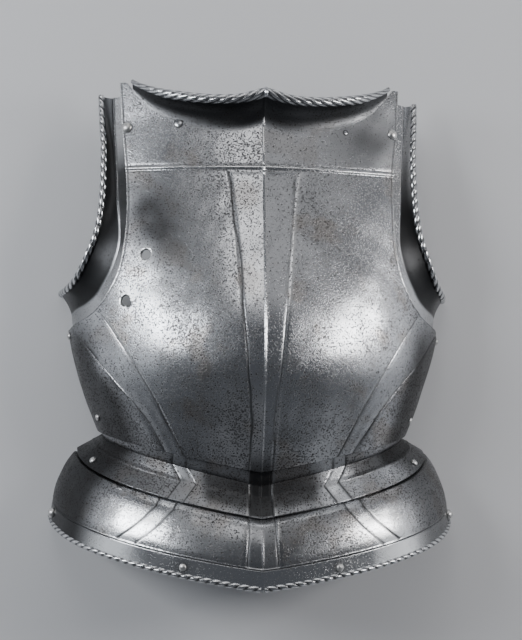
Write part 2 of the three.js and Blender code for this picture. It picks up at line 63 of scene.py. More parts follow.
def table(names, rows):
    return dict(zip(names.split(), np.array(rows, float).T))


def curve(at, value):
    order = np.argsort(at)
    at, value = at[order], value[order]
    gap = np.diff(at)
    chord = np.diff(value) / gap
    slope = np.concatenate([chord[:1], chord, chord[-1:]])[:-1]
    slope[1:-1] = (chord[:-1] * gap[1:] + chord[1:] * gap[:-1]) / (gap[1:] + gap[:-1])

    def evaluate(x):
        i = np.clip(np.searchsorted(at, x) - 1, 0, len(at) - 2)
        width = at[i + 1] - at[i]
        t = np.clip((x - at[i]) / width, 0, 1)
        s = 1 - t
        ends = value[i] * (1 + 2 * t) * s * s + value[i + 1] * (3 - 2 * t) * t * t
        return ends + width * t * s * (slope[i] * s - slope[i + 1] * t)
    return evaluate


def smooth(x, low, high):
    t = np.clip((x - low) / (high - low), 0, 1)
    return t * t * (3 - 2 * t)


def near(value, place, width):
    return np.exp(-((value - place) / width) ** 2)


def most(*fields):
    return functools.reduce(np.maximum, fields)


# %% [markdown]
# ## The trunk
# Across the chest the plate is close to half an ellipse with a raised keel in the middle. Each height
# has a half width, a depth and a keel, and the angle runs from the ridge (0) to the side edge.

# %% Sections of the trunk
ROUNDNESS = 0.9
TRUNK = table("y half depth keel", [
    (-165, 132, 117, 0.05), (-141, 139, 121, 0.06), (-108, 152, 133, 0.09), (-71, 166, 145, 0.13),
    (-35, 177, 150, 0.16), (-9, 182, 148, 0.19), (36, 185, 137, 0.22), (91, 186, 118, 0.25),
    (140, 184, 102, 0.27), (180, 180, 92, 0.28), (225, 172, 84, 0.28)])
trunk_half = curve(TRUNK["y"], TRUNK["half"])
trunk_depth = curve(TRUNK["y"], TRUNK["depth"])
trunk_keel = curve(TRUNK["y"], TRUNK["keel"])


def section(angle, y, half, depth, keel):
    across = np.abs(np.sin(angle)) ** ROUNDNESS
    deep = np.clip(np.cos(angle), 0, None) ** ROUNDNESS
    z = depth * ((1 - keel) * deep + keel * (1 - across))
    return np.stack(np.broadcast_arrays(np.sign(angle) * half * across, y, z), -1)


def trunk(angle, y):
    return section(angle, y, trunk_half(y), trunk_depth(y), trunk_keel(y))


def angle_at(x, y):
    return np.arcsin(np.clip(x / trunk_half(y), 0, 1) ** (1 / ROUNDNESS))


def trunk_speed(angle, y):
    inside = np.clip(angle, 0.02, QUARTER - 0.02)
    return np.linalg.norm(trunk(inside + 0.01, y) - trunk(inside - 0.01, y), axis=-1) / 0.02


def unit(v):
    return v / np.maximum(np.linalg.norm(v, axis=-1, keepdims=True), 1e-12)


def normal_of(surface, angle, place, reach):
    inside = np.clip(angle, -QUARTER + 0.02, QUARTER - 0.02)
    along = surface(inside + 0.015, place) - surface(inside - 0.015, place)
    up = surface(inside, place + reach) - surface(inside, place - reach)
    return unit(np.cross(along, up))


def trunk_normal(angle, y):
    return normal_of(trunk, angle, y, 1)


# %% [markdown]
# ## The outline of the chest plate
# Three lines cut the trunk: the armhole, the neckline and the waist. The waist line drops to a shallow
# point in the middle, as on the real plate.

# %% Lines that cut the trunk
ARMPIT_Y = -13
ARMHOLE = table("y x", [
    (-13, 181.4), (-7, 175), (0, 163), (13.5, 148), (25.5, 140.7), (39.5, 134.2), (56, 129.8),
    (72, 127.4), (98, 126), (125, 126.7), (150, 128.5), (180, 131.5), (224, 134.5)])
NECKLINE = table("x y", [
    (0, 182), (20, 177), (45, 178), (70, 184), (92, 193), (110, 205), (121, 215), (126, 222),
    (135, 224)])
armhole_x = curve(ARMHOLE["y"], ARMHOLE["x"])
neckline_y = curve(NECKLINE["x"], NECKLINE["y"])


def armhole_angle(y):
    return np.where(y <= ARMPIT_Y, QUARTER, angle_at(armhole_x(y), y))


def waist_y(angle):
    t = np.abs(angle) / QUARTER
    return -139 + 31 * (t + 4 * 0.16 * t * (1 - t))


# %% [markdown]
# ## A mesh for a plate
# A plate is a grid of points for its outer face and a coarser grid for its inner face, joined round the
# rim. Rows go up and columns go to the wearer's left, so every face looks outward without a repair.

# %% Plate and tube meshes
SHARP = 38                    # an edge bent by more degrees than this is drawn sharp


def link(name, data):
    made = bpy.data.objects.new(name, data)
    bpy.context.scene.collection.objects.link(made)
    return made


def new_object(name, vertices, faces, sharp=SHARP):
    mesh = bpy.data.meshes.new(name)
    metres = (np.asarray(vertices, float).reshape(-1, 3) - (0, BOX_MIDDLE_Y, 0)) / 1000
    metres[:, 2] = np.maximum(metres[:, 2], 0)        # nothing sinks into the floor
    mesh.from_pydata(metres.tolist(), [], faces)
    mesh.shade_smooth()
    mesh.set_sharp_from_angle(angle=math.radians(sharp))
    return link(name, mesh)


def quads(grid):
    corners = [grid[:-1, :-1], grid[:-1, 1:], grid[1:, 1:], grid[1:, :-1]]
    return np.stack(corners, -1).reshape(-1, 4)


def around(grid):
    return np.concatenate([grid[0, :-1], grid[:-1, -1], grid[-1, :0:-1], grid[:0:-1, 0]]).tolist()


def plate_faces(rows, columns, every):
    outer = np.arange(rows * columns).reshape(rows, columns)
    inner_rows, inner_columns = (rows - 1) // every + 1, (columns - 1) // every + 1
    inner = rows * columns + np.arange(inner_rows * inner_columns).reshape(inner_rows, -1)
    faces = quads(outer).tolist() + quads(inner)[:, ::-1].tolist()
    fine, coarse = around(outer), around(inner)
    for k in range(len(coarse)):
        along = [fine[(k * every + i) % len(fine)] for i in range(every + 1)]
        faces.append(along[::-1] + [coarse[k], coarse[(k + 1) % len(coarse)]])
    return faces


def paint(made, name, values):
    layer = made.data.attributes.new(name, "FLOAT", "POINT")
    layer.data.foreach_set("value", np.ascontiguousarray(values, dtype=np.float32).ravel())


def plate(name, outer, inner, every=4, **painted):
    rows, columns = outer.shape[:2]
    below = inner[::every, ::every].reshape(-1, 3)
    made = new_object(name, np.concatenate([outer.reshape(-1, 3), below]),
                      plate_faces(rows, columns, every))
    for label, inside in (("polish", 0.0), ("dark", 0.5), ("pitted", 0.5)):
        field = np.broadcast_to(painted[label], (rows, columns))
        paint(made, label, np.concatenate([field.ravel(), np.full(len(below), inside)]))
    print(name, rows, "x", columns, "grid,", len(made.data.polygons), "faces")
    return made


def join(name, objects):
    whole = bmesh.new()
    for each in objects:
        whole.from_mesh(each.data)
        bpy.data.objects.remove(each)
    mesh = bpy.data.meshes.new(name)
    whole.to_mesh(mesh)
    whole.free()
    return link(name, mesh)


# %% [markdown]
# ## Hammered, not machined
# Even a well planished plate keeps soft waves from the hammer. A sum of seeded sine waves gives them
# cheaply, and they break up the highlights of polished steel.

# %% Soft waves in a plate
dice = np.random.default_rng(7)
WAVES = [(dice.normal(size=3), dice.uniform(0, 2 * math.pi), length)
         for length in (95, 95, 70, 70, 52, 52, 40, 40, 30, 30, 22, 22, 17, 17, 13, 13)]
WAVE_SIZE = 0.0011            # millimetres for each millimetre of a wave's length, nearly


def waves(points, amount=1.0):
    height = 0
    for way, phase, length in WAVES:
        run = points @ (way / np.linalg.norm(way))
        height = height + length ** 1.1 * np.sin(run * 2 * math.pi / length + phase)
    return amount * WAVE_SIZE * height


def grid_normals(points):
    along = np.gradient(points, axis=1)
    up = np.gradient(points, axis=0)
    return unit(np.cross(along, up))


def rounded(distance, radius):
    inside = np.clip(radius - distance, 0, radius)
    return radius - np.sqrt(radius * radius - inside * inside)


# %% [markdown]
# ## Columns that follow the decoration
# The sunk bands have narrow sloped steps. If the columns of the grid run along those steps, a few
# thousand quads draw a crisp line that a plain grid would need ten times more for.

# %% Spreading columns between lines
def spread(counts):
    places = [(k, t) for k, count in enumerate(counts) for t in np.arange(count) / count]
    return places + [(len(counts) - 1, 1.0)]


def place_columns(lines, places):
    columns = [lines[k][:, j] * (1 - t) + lines[k + 1][:, j] * t
               for j, (k, t) in enumerate(places)]
    return np.stack(columns, 1)


# %% [markdown]
# ## Where the bands run
# The middle band follows the ridge and narrows to the waist. A second band on each side starts at the
# foot of the armhole and crosses to the waist. Both are a little lower than the panels.

# %% Lines of the bands on the chest
MIDDLE_DROP, SASH_DROP = 0.6, 0.8
STEP_WIDTH = 2.4
CHEST_BAND = table("y half", [
    (138.5, 33), (110, 29.5), (80, 26.3), (50, 24), (20, 21.5), (-30, 17.3), (-80, 13.5),
    (-141, 10.6)])
SASH_INNER = table("y x", [
    (13.5, 156), (4.5, 148), (-12, 136), (-34, 121), (-51, 110), (-74, 96), (-98, 83), (-126, 69)])
SASH_OUTER = table("y x", [
    (-7, 182), (-16.5, 171.5), (-31, 159), (-46, 145.5), (-65, 128), (-86, 110.5), (-111, 94.5),
    (-122, 88)])
band_half = curve(CHEST_BAND["y"], CHEST_BAND["half"])
sash_inner = curve(SASH_INNER["y"], SASH_INNER["x"])
sash_outer = curve(SASH_OUTER["y"], SASH_OUTER["x"])
RIB_Y = 140                   # the raised line across the upper chest
LIP, FOOT = 1.2, 2.6          # how far a step and its groove reach to the high and the low side
RIDGE_COLUMN = 1.6            # the first column beside the ridge
RIDGE = 0.85                  # half width of the ridge's bead


def hook(y):
    return 2.4 * np.exp(-np.clip(RIB_Y - 3 - y, 0, None) / 3)


def chest_lines(y):
    speed = trunk_speed(0.8, y)
    edge = armhole_angle(y)
    rim = edge - 4.4 / speed                  # the groove beside the armhole lies outside this
    after = np.minimum(angle_at(sash_outer(y), y) + LIP / speed, rim - 8 / speed)
    before = np.minimum(angle_at(sash_outer(y), y) - FOOT / speed, after - 2 / speed)
    inside = np.minimum(angle_at(sash_inner(y), y) + FOOT / speed, before - 4 / speed)
    ahead = np.minimum(angle_at(sash_inner(y), y) - LIP / speed, inside - 2 / speed)
    half = band_half(y) + hook(y)
    return [0 * y, angle_at(RIDGE_COLUMN + 0 * y, y), angle_at(half - FOOT, y),
            angle_at(half + LIP, y), ahead, inside, before, after, rim, edge]


CHEST_COUNTS = (4, 10, 6, 42, 6, 8, 6, 15, 9)


def step_height(into, drop):
    groove, lip = 0.32 * near(into, 1.5, 0.6), 0.14 * near(into, -1.1, 0.6)
    return lip - groove - drop * smooth(into, -STEP_WIDTH / 2, STEP_WIDTH / 2)


def into_chest_bands(angle, y):
    x = np.abs(trunk(angle, y)[..., 0])
    speed = trunk_speed(0.8, y)
    away = np.abs(angle)
    middle = band_half(y) + hook(y) - x
    to_outer = np.where(y > ARMPIT_Y, 99, (angle_at(sash_outer(y), y) - away) * speed)
    from_inner = (away - angle_at(sash_inner(y), y)) * speed
    return middle, np.minimum(from_inner, to_outer), smooth(from_inner - to_outer, -4, 4)


def chest_relief(angle, y):
    x = np.abs(trunk(angle, y)[..., 0])
    middle, sash, outer_side = into_chest_bands(angle, y)
    rib = near(y, RIB_Y, 1.4)
    beside = near(y - RIB_Y, 2.6, 0.7) + near(y - RIB_Y, -2.6, 0.7)
    ridge = 0.4 * near(x, 0, RIDGE)
    under_rib = 1 - smooth(y, 131.5, 138)
    shallower = (SASH_DROP - 0.35 * smooth(-y, 0, 80)) * (1 - 0.5 * outer_side)
    bands = step_height(middle, MIDDLE_DROP) * under_rib + step_height(sash, shallower)
    return bands + 0.85 * rib - 0.2 * beside + ridge


# %% [markdown]
# ## The chest plate
# Rows are packed where the armhole turns into the side edge and across the raised line. The point of a
# row and a column is found by a few rounds of correction, because the waist, the neckline and the
# columns depend on each other.

# %% Grid of the chest plate
PLATE = 2.0                   # the chest plate's wall


def shares(*stretches):
    parts = [np.linspace(low, high, count, endpoint=False) for low, high, count in stretches]
    return np.concatenate(parts + [[stretches[-1][1]]])


LOWER = shares((0, 0.006, 2), (0.006, 0.36, 36), (0.36, 0.47, 50), (0.47, 0.56, 22),
               (0.56, 0.955, 46), (0.955, 1, 12))
ACROSS_RIB = np.linspace(RIB_Y - 3.6, RIB_Y + 3.6, 15)
UPPER = shares((0, 0.97, 24), (0.97, 1, 3))[1:]


ROUNDS = 12                   # of correction, each nearer to the true rows and columns


def throat_y(x):
    return neckline_y(x) - 4 * (1 - smooth(x, 100, 122))


def chest_grid():
    columns = sum(CHEST_COUNTS)
    rows = len(LOWER) + len(ACROSS_RIB) + len(UPPER) - 1
    places = spread(CHEST_COUNTS)
    low, high = ACROSS_RIB[0], ACROSS_RIB[-1]
    angle = np.tile(np.linspace(0, 1, columns + 1), (rows, 1))
    y = np.zeros_like(angle)
    for _ in range(ROUNDS):
        bottom = waist_y(angle[:1])
        top = throat_y(np.abs(trunk(angle, y)[-1:, :, 0]))
        y = np.concatenate([bottom + (low - bottom) * LOWER[:-1, None],
                            np.tile(ACROSS_RIB[:, None], (1, columns + 1)),
                            high + (top - high) * UPPER[:, None]])
        angle = place_columns(chest_lines(y), places)
    return angle, y


chest_angle, chest_y = chest_grid()
print("chest grid", chest_angle.shape, "heights", chest_y.min().round(), chest_y.max().round())

# %% [markdown]
# The outer face gets its bands, its raised line, its rounded rims and the hammer's waves. The inner face
# is the plain trunk one wall lower, so the bands read only from the front.

# %% Shape the chest plate
def mirror_columns(half_grid):
    left = half_grid[:, :0:-1] * (-1, 1, 1)
    return np.concatenate([left, half_grid], 1)


def chest_outer(angle, y):
    base = trunk(angle, y)
    from_armhole = (armhole_angle(y) - angle) * trunk_speed(0.8, y)
    height = chest_relief(angle, y) - rounded(from_armhole, 0.9)
    height -= 0.35 * near(from_armhole, 2.7, 0.55) * smooth(y, -16, -6)
    from_bottom = np.linalg.norm(base - base[:1], axis=-1)
    from_top = np.linalg.norm(base - base[-1:], axis=-1)
    height -= rounded(from_bottom, 0.8) + 0.4 * rounded(from_top, 0.8) * smooth(base[..., 0], 121, 124)
    return base + trunk_normal(angle, y) * height[..., None]


def both_sides(half_field, sign=1):
    return np.concatenate([sign * half_field[:, :0:-1], half_field], 1)


chest_half = chest_outer(chest_angle, chest_y)
chest_face = mirror_columns(chest_half)
chest_face += grid_normals(chest_face) * waves(chest_face)[..., None]
under = trunk(chest_angle, chest_y) - PLATE * trunk_normal(chest_angle, chest_y)
under[..., 2] = np.maximum(under[..., 2], 0)

# %% [markdown]
# Three numbers are painted on every plate for its steel: how bright it is, partly from wear and partly
# as a painted highlight; how dark, partly tarnish and partly painted shade; and how thickly it is
# pitted. Painted shade lies along the foot of each step and in the lines along the edges. Ridges and
# lips are partly rubbed bright and partly painted as highlights.

# %% Paint the chest plate
def chest_paint():
    angle, y = both_sides(chest_angle, -1), both_sides(chest_y)
    x, away, low = chest_face[..., 0], np.abs(angle), smooth(-y, 20, 80)
    wearer_left, below_rib = smooth(angle, -0.01, 0.01), 1 - smooth(y, 136.5, 138)
    middle, sash, outer_side = into_chest_bands(angle, y)
    wobble = waves(chest_face, 4)
    from_armhole = (armhole_angle(y) - away) * trunk_speed(0.8, y)
    # Painted shade along the foot of the bands' steps, in the groove beside the armhole and on both
    # sides of the raised line. It is deeper on the wearer's right of the middle band and above the
    # raised line, as the light falls.
    soft, crisp = near(middle + wobble, 1.1, 1.05), near(middle + wobble, 1.5, 0.85)
    line = most(np.where(angle < 0, 0.85 * soft, 0.6 * crisp) * below_rib,
                near(sash + wobble, 1.5 - 0.5 * low, 0.75 + 0.5 * low) * 0.9,
                0.75 * near(from_armhole, 2.7, 0.6) * smooth(y, -16, -6),
                0.4 * near(y, RIB_Y + 2.7, 0.7) + 0.25 * near(y, RIB_Y - 2.7, 0.7))
    # Painted shade on the sides of the plate, where they turn away from the lamps.
    turned = np.where(angle > 0, away + 0.18, away + 0.05 + 0.22 * smooth(-y, 40, 80))
    side = (0.88 + 0.07 * wearer_left) * smooth(turned, 0.93, 1.2) * smooth(-y, -20, 30)
    in_band = most(smooth(middle, 0, 2) * below_rib, smooth(sash, 0, 2))
    # Painted shade in a patch on each side of the upper chest, where the plate is also less pitted, and
    # at the foot of the middle above the waist.
    aside, above = x + 101, y - 90
    painted_shade_patch = near(0.43 * aside - 0.9 * above, 0, 50) * near(0.9 * aside + 0.43 * above, 0, 27)
    painted_shade_patch += 0.8 * near(x, 104, 40) * near(y, 171, 27)
    foot = 0.8 * (1 - smooth(np.abs(x), 7, 18)) * smooth(-y, 112, 139)
    dark = most(line, side * (1 - 0.07 * in_band), np.clip(painted_shade_patch, 0, 0.9), foot)
    # Bright paint on the ridge, the raised line, the lips of the bands and the armhole's rim: partly
    # wear and partly painted highlight, brighter up the ridge and on the wearer's left of the middle
    # band.
    polish = most(near(x, 0, 1.2) * (0.45 + 0.55 * smooth(y, 20, 90)),
                  near(y, RIB_Y, 1.3),
                  0.7 * near(middle, -1.2, 0.7) * below_rib * (0.3 + 0.7 * wearer_left),
                  0.7 * near(sash, -0.6, 0.9) * smooth(y, -80, -20) * (1 - outer_side),
                  0.6 * near(from_armhole, 0.9, 0.7))
    yoke_left = smooth(y, 142, 146) * wearer_left
    pitted = 0.78 - 0.3 * in_band - 0.4 * yoke_left - 0.3 * np.clip(painted_shade_patch, 0, 1)
    return dict(polish=polish, dark=dark, pitted=pitted)


chest_plate = plate("chest_plate", chest_face, mirror_columns(under), **chest_paint())

# %% [markdown]
# ## Two holes for a lance rest
# The bracket that held the lance was bolted through the right breast. A boolean with two cutters drills
# the holes. Each cutter widens at the surface, which leaves the worn, bright chamfer round the hole.

# %% Drill the rest holes
REST_HOLES = [(107.2, 58, 4.6), (125, 15.5, 4.7)]      # across, up, radius
NICK = (122.2, 12.4, 2.5)                              # worn into the lower hole


def lathe(name, profile, sides, point, normal):
    turn = Vector((0, 0, 1)).rotation_difference(Vector(normal)).to_matrix()
    turns = [2 * math.pi * k / sides for k in range(sides)]
    inner = profile[1:-1]
    vertices = [(r * math.cos(a), r * math.sin(a), h) for r, h in inner for a in turns]
    vertices = [(0, 0, profile[0][1]), *vertices, (0, 0, profile[-1][1])]
    steps = [(1 + k, 1 + (k + 1) % sides) for k in range(sides)]
    faces = [(0, a, b) for a, b in steps]
    for i in range(0, (len(inner) - 1) * sides, sides):
        faces += [(i + a, i + a + sides, i + b + sides, i + b) for a, b in steps]
    last = (len(inner) - 1) * sides
    faces += [(last + a, len(vertices) - 1, last + b) for a, b in steps]
    placed = [tuple(turn @ Vector(v) + Vector(point)) for v in vertices]
    return new_object(name, placed, faces)


def drill(body, cutters):
    for cutter in cutters:
        cut = body.modifiers.new("cut", "BOOLEAN")
        cut.operation, cut.solver, cut.object = "DIFFERENCE", "EXACT", cutter
    bpy.context.view_layer.update()
    result = bpy.data.meshes.new_from_object(body.evaluated_get(bpy.context.evaluated_depsgraph_get()))
    body.modifiers.clear()
    body.data = result
    for cutter in cutters:
        bpy.data.objects.remove(cutter)


def cutter(x, y, radius, reach=6):
    angle = -float(angle_at(x, y))
    profile = [(0, reach), (radius + 5.6, reach), (radius + 1.6, 0.35), (radius + 0.3, -0.45),
               (radius, -0.9), (radius, -reach), (0, -reach)]
    return lathe("cutter", profile, 40, trunk(angle, y), trunk_normal(angle, y))


drill(chest_plate, [cutter(*hole) for hole in (*REST_HOLES, NICK)])
chest_plate.data.set_sharp_from_angle(angle=math.radians(SHARP))
print("chest plate after drilling", len(chest_plate.data.polygons), "faces")

# %% [markdown]
# ## Plugs
# Two old holes in the upper chest are closed with plain round plugs, filed flush. Only a fine dark ring
# shows where each one sits.

# %% Close two old holes
PLUGS = [(-78.6, 182.2, 3.9), (78.8, 177.6, 2.3)]      # across, up, radius
SIDES = 28                    # of every small turned piece


def plug(x, y, radius):
    angle = float(np.sign(x) * angle_at(abs(x), y))
    profile = [(0, 0.55), (radius - 0.9, 0.5), (radius - 0.35, 0.2), (radius, 0.12),
               (radius + 0.5, 0.12), (radius + 0.6, -1.5), (0, -1.5)]
    made = lathe("plug", profile, SIDES, trunk(angle, y), trunk_normal(angle, y))
    outside = [float(r > radius - 0.8) for r, _ in profile[1:-1]]
    ring = np.concatenate([[0], np.repeat(outside, SIDES), [0]])
    paint(made, "dark", 0.9 * ring)
    paint(made, "pitted", 0.3 * (1 - ring))
    return made


plugs = [plug(*each) for each in PLUGS]
print(len(plugs), "plugs")

# %% [markdown]
# ## Roped edges
# The smith turned the edge over a wire and filed slanting grooves into the roll, so that it looks like a
# twisted rope. A tube whose radius follows a slanting wave gives the same strands: sharp between them
# and round on top.

# %% A twisted tube along a line
def resample(points, count):
    run = np.concatenate([[0], np.cumsum(np.linalg.norm(np.diff(points, axis=0), axis=1))])
    at = np.linspace(0, run[-1], count)
    return np.stack([np.interp(at, run, points[:, k]) for k in range(3)], -1), at


ROPE_SIDES, ROPE_ROWS = 24, 10          # points round the tube, and rows along each strand
ROUND_STRAND = 0.62                     # below 1, a strand is round on top with a sharp foot


def rope(name, points, radius, pitch, turns, lead, side, taper=np.ones_like, groove=0.26):
    length = np.linalg.norm(np.diff(points, axis=0), axis=1).sum()
    strands = max(1, round(length / pitch))
    path, at = resample(points, strands * ROPE_ROWS + 1)
    ahead, lead = unit(np.gradient(path, axis=0)), np.asarray(lead, float)
    across = unit(lead - ahead * (ahead @ lead)[:, None])
    third = np.cross(ahead, across)
    theta = np.arange(ROPE_SIDES) / ROPE_SIDES * 2 * math.pi
    phase = 2 * math.pi * at[:, None] / (length / strands) + side * turns * theta[None]
    strand = np.abs(np.sin(phase / 2)) ** ROUND_STRAND
    size = radius * (1 - groove * (1 - strand)) * taper(at / length)[:, None]
    theta = theta[None, :, None]
    ring = across[:, None] * np.cos(theta) + third[:, None] * np.sin(theta)
    tube = path[:, None] + ring * size[..., None]
    each = np.arange(len(path) * ROPE_SIDES).reshape(-1, ROPE_SIDES)
    wrapped = np.concatenate([each, each[:, :1]], 1)
    faces = [*quads(wrapped).tolist(), each[0, ::-1].tolist(), each[-1].tolist()]
    made = new_object(name, tube, faces, 50)
    # The crests of the strands are painted bright, partly wear and partly highlight, and the valleys
    # between them are painted dark as shade.
    paint(made, "polish", 0.8 * strand)
    paint(made, "dark", np.clip(1.3 * (1 - strand), 0, 1))
    print(name, strands, "strands over", round(length), "mm")
    return made


# %% [markdown]
# ## The neck flange and its rope
# The chest plate turns outward round the neck. The flange is hollow below its thick rope and painted
# dark there as shade. The rope's two halves are twisted towards the middle, where a small collar hides
# their meeting.

# %% Neck flange
FLANGE_HALF = 122             # half width of the neck
NECK_ROLL = 4.6               # radius of the neck's rope
FLANGE = table("share rise forward", [
    (0, 25, 20), (0.15, 25, 20), (0.37, 23, 19), (0.7, 17, 15), (0.87, 12, 10), (1, 7, 6)])
flange_rise = curve(FLANGE["share"], FLANGE["rise"])
flange_forward = curve(FLANGE["share"], FLANGE["forward"])


def on_trunk_at(x, y):
    return trunk(np.sign(x) * angle_at(np.abs(x), y), y)


def neck_foot(share):
    x = share * FLANGE_HALF
    return on_trunk_at(x, throat_y(np.abs(x)))


def neck_edge(share):
    away, x = np.abs(share), share * FLANGE_HALF
    rise = np.stack([0 * away, flange_rise(away), flange_forward(away)], -1)
    return on_trunk_at(x, neckline_y(np.abs(x))) + rise


def neck_flange():
    share = np.linspace(-1, 1, 245)[None]
    reach = np.concatenate([[-0.1, -0.04], np.linspace(0, 1, 27)])[:, None]
    foot, edge = neck_foot(share), neck_edge(share)
    upward = unit(foot - on_trunk_at(foot[..., 0], foot[..., 1] - 1))
    size = np.linalg.norm(edge - foot, axis=-1, keepdims=True)
    knee = foot + upward * size * 0.62
    t = np.clip(reach, 0, 1)[..., None]
    points = foot * (1 - t) ** 2 + 2 * knee * t * (1 - t) + edge * t * t
    points += upward * size * np.clip(reach, None, 0)[..., None]
    points[..., 2] -= 1.2 * (reach < 0)
    ridge = near(points[..., 0], 0, RIDGE)
    points += grid_normals(points) * (waves(points, 0.6) + 0.4 * ridge * (reach >= 0))[..., None]
    left = share > 0
    # Painted shade over the hollow of the flange, a little less on the wearer's left. The ridge is
    # painted bright, partly wear and partly highlight.
    dark = (0.93 - 0.05 * left) * smooth(reach + 0.12 * np.abs(share), 0.0, 0.24 + 0.04 * left)
    polish = ridge * (1 - smooth(reach, 0.1, 0.4))
    return plate("neck_flange", points, points - PLATE * grid_normals(points), every=2,
                 dark=dark, polish=polish, pitted=0.4)


def neck_taper(away):
    return 1 - 0.5 * smooth(away, 0.62, 1.0) + 0.08 * smooth(-away, -0.2, 0)


def neck_rope(side, hand):
    share = hand * np.linspace(0.006, 1, 300)
    return rope("neck_rope_" + side, neck_edge(share), NECK_ROLL, 9.6, 5, (0, 0, 1), -hand, neck_taper)


COLLAR = [(0, 2.2), (3.6, 2.2), (4.9, 1.3), (5.4, 0), (4.9, -1.3), (3.6, -2.2), (0, -2.2)]
neck_pieces = [neck_flange(), neck_rope("left", 1), neck_rope("right", -1),
               lathe("neck_collar", COLLAR, SIDES, neck_edge(np.array([0.0]))[0], (1, 0, 0))]

# %% [markdown]
# ## Below the waist
# The waist plate is sunk into the hollow of the waist and flares over the skirt. Its rows and the
# skirt's are sections like the trunk's, each with its own drop from the side to the middle.

# %% Levels of the waist plate and the skirt
LEVELS = table("half depth keel middle side bow", [
    (146, 117, 0.07, -151, -112, 0.12), (155, 121, 0.08, -163, -117, 0.06),
    (163, 128, 0.1, -170.5, -121.5, 0.03), (171, 135, 0.12, -178, -126, 0),
    (180, 143, 0.13, -184, -138, 0), (187, 149, 0.14, -196, -152, 0),
    (191, 152, 0.14, -209, -163, 0), (193, 153, 0.14, -221.6, -173, 0),
    (195, 151, 0.14, -238, -189, 0)])
HOLLOW, TURN, FLANGE_MIDDLE, SEAM, SWELL, UPPER_SKIRT, MIDDLE_SKIRT, BORDER, RIM = range(1, 10)


def level_curves(first, last):
    step = np.arange(first, last + 1.0)
    return {name: curve(step, LEVELS[name][first - 1:last]) for name in LEVELS}


HOLLOW_TO_TURN = level_curves(HOLLOW, TURN)
TURN_TO_SEAM = level_curves(TURN, SEAM)
SEAM_TO_RIM = level_curves(SEAM, RIM)


def on_levels(curves, angle, step):
    size = {name: curves[name](step) for name in curves}
    t = np.abs(angle) / QUARTER
    y = size["middle"] + (size["side"] - size["middle"]) * (t + 4 * size["bow"] * t * (1 - t))
    return section(angle, y, size["half"], size["depth"], size["keel"])


def flare(angle, step):
    at_waist = trunk(angle, waist_y(angle))
    at_hollow = on_levels(HOLLOW_TO_TURN, angle, 0 * step + HOLLOW)
    first = at_waist + (at_hollow - at_waist) * step[..., None]
    hollow = on_levels(HOLLOW_TO_TURN, angle, np.maximum(step, HOLLOW))
    low = np.where((step < HOLLOW)[..., None], first, hollow)
    low = np.where((step > TURN)[..., None], on_levels(TURN_TO_SEAM, angle, step), low)
    return np.where((step > SEAM)[..., None], on_levels(SEAM_TO_RIM, angle, step), low)


def flare_normal(angle, step):
    return normal_of(flare, angle, step, -0.25)        # steps run down, so up is a step less


def flare_angle(x, step):
    half = flare(0 * step + QUARTER, step)[..., 0]
    return np.arcsin(np.clip(x / half, 0, 1) ** (1 / ROUNDNESS))


# %% [markdown]
# ## Waist plate
# It passes up under the chest plate, bends sharply at one crease and turns outward into the flange that
# covers the skirt. The bands of the chest run on over it.

# %% Grid and shape of the waist plate
LAME = 1.6                    # wall of the waist plate, the skirt and the gussets
UNDER_CHEST = 3.0             # how deep the waist plate starts under the chest plate
WAIST_BANDS = table("step middle inner outer", [
    (0, 10.6, 67.5, 82), (HOLLOW, 10.4, 66.5, 81), (TURN, 10.4, 57.5, 73), (SEAM, 11.4, 69, 85)])


def band_curves(bands):
    def through(name):
        return lambda step: np.interp(step, bands["step"], bands[name])
    return {name: through(name) for name in ("middle", "inner", "outer")}


LAME_SPEED = 150              # millimetres for each radian, about the same all along a lame


def lame_lines(bands, step, end):
    middle, inner, outer = [bands[name](step) for name in ("middle", "inner", "outer")]
    inner, outer = flare_angle(inner, step), flare_angle(outer, step)
    lip, foot = LIP / LAME_SPEED, FOOT / LAME_SPEED
    return [0 * step, flare_angle(RIDGE_COLUMN + 0 * step, step), flare_angle(middle - FOOT, step),
            flare_angle(middle + LIP, step), inner - lip, inner + foot,
            outer - foot, outer + lip, 0 * step + end]


def into_lame_bands(bands, angle, step):
    x = np.abs(flare(angle, step)[..., 0])
    sash = np.minimum(x - bands["inner"](step), bands["outer"](step) - x)
    return bands["middle"](step) - x, sash


def lame_relief(bands, angle, step):
    middle, sash = into_lame_bands(bands, angle, step)
    ridge = 0.3 * near(np.abs(flare(angle, step)[..., 0]), 0, RIDGE)
    return step_height(middle, 0.55) + 0.4 * step_height(sash, 0.5) + ridge


LAME_COUNTS = (4, 5, 6, 26, 6, 6, 6, 66)


def lame_angles(bands, steps, end):
    step = np.tile(steps[:, None], (1, sum(LAME_COUNTS) + 1))
    return place_columns(lame_lines(bands, step, end), spread(LAME_COUNTS)), step


waist_bands = band_curves(WAIST_BANDS)
WAIST_STEPS = shares((0, 0.03, 1), (0.03, HOLLOW, 12), (HOLLOW, TURN - 0.08, 12),
                     (TURN - 0.08, TURN + 0.08, 4), (TURN + 0.08, SEAM - 0.1, 22),
                     (SEAM - 0.1, SEAM, 3))
waist_angle, waist_step = lame_angles(waist_bands, WAIST_STEPS, QUARTER * 0.995)


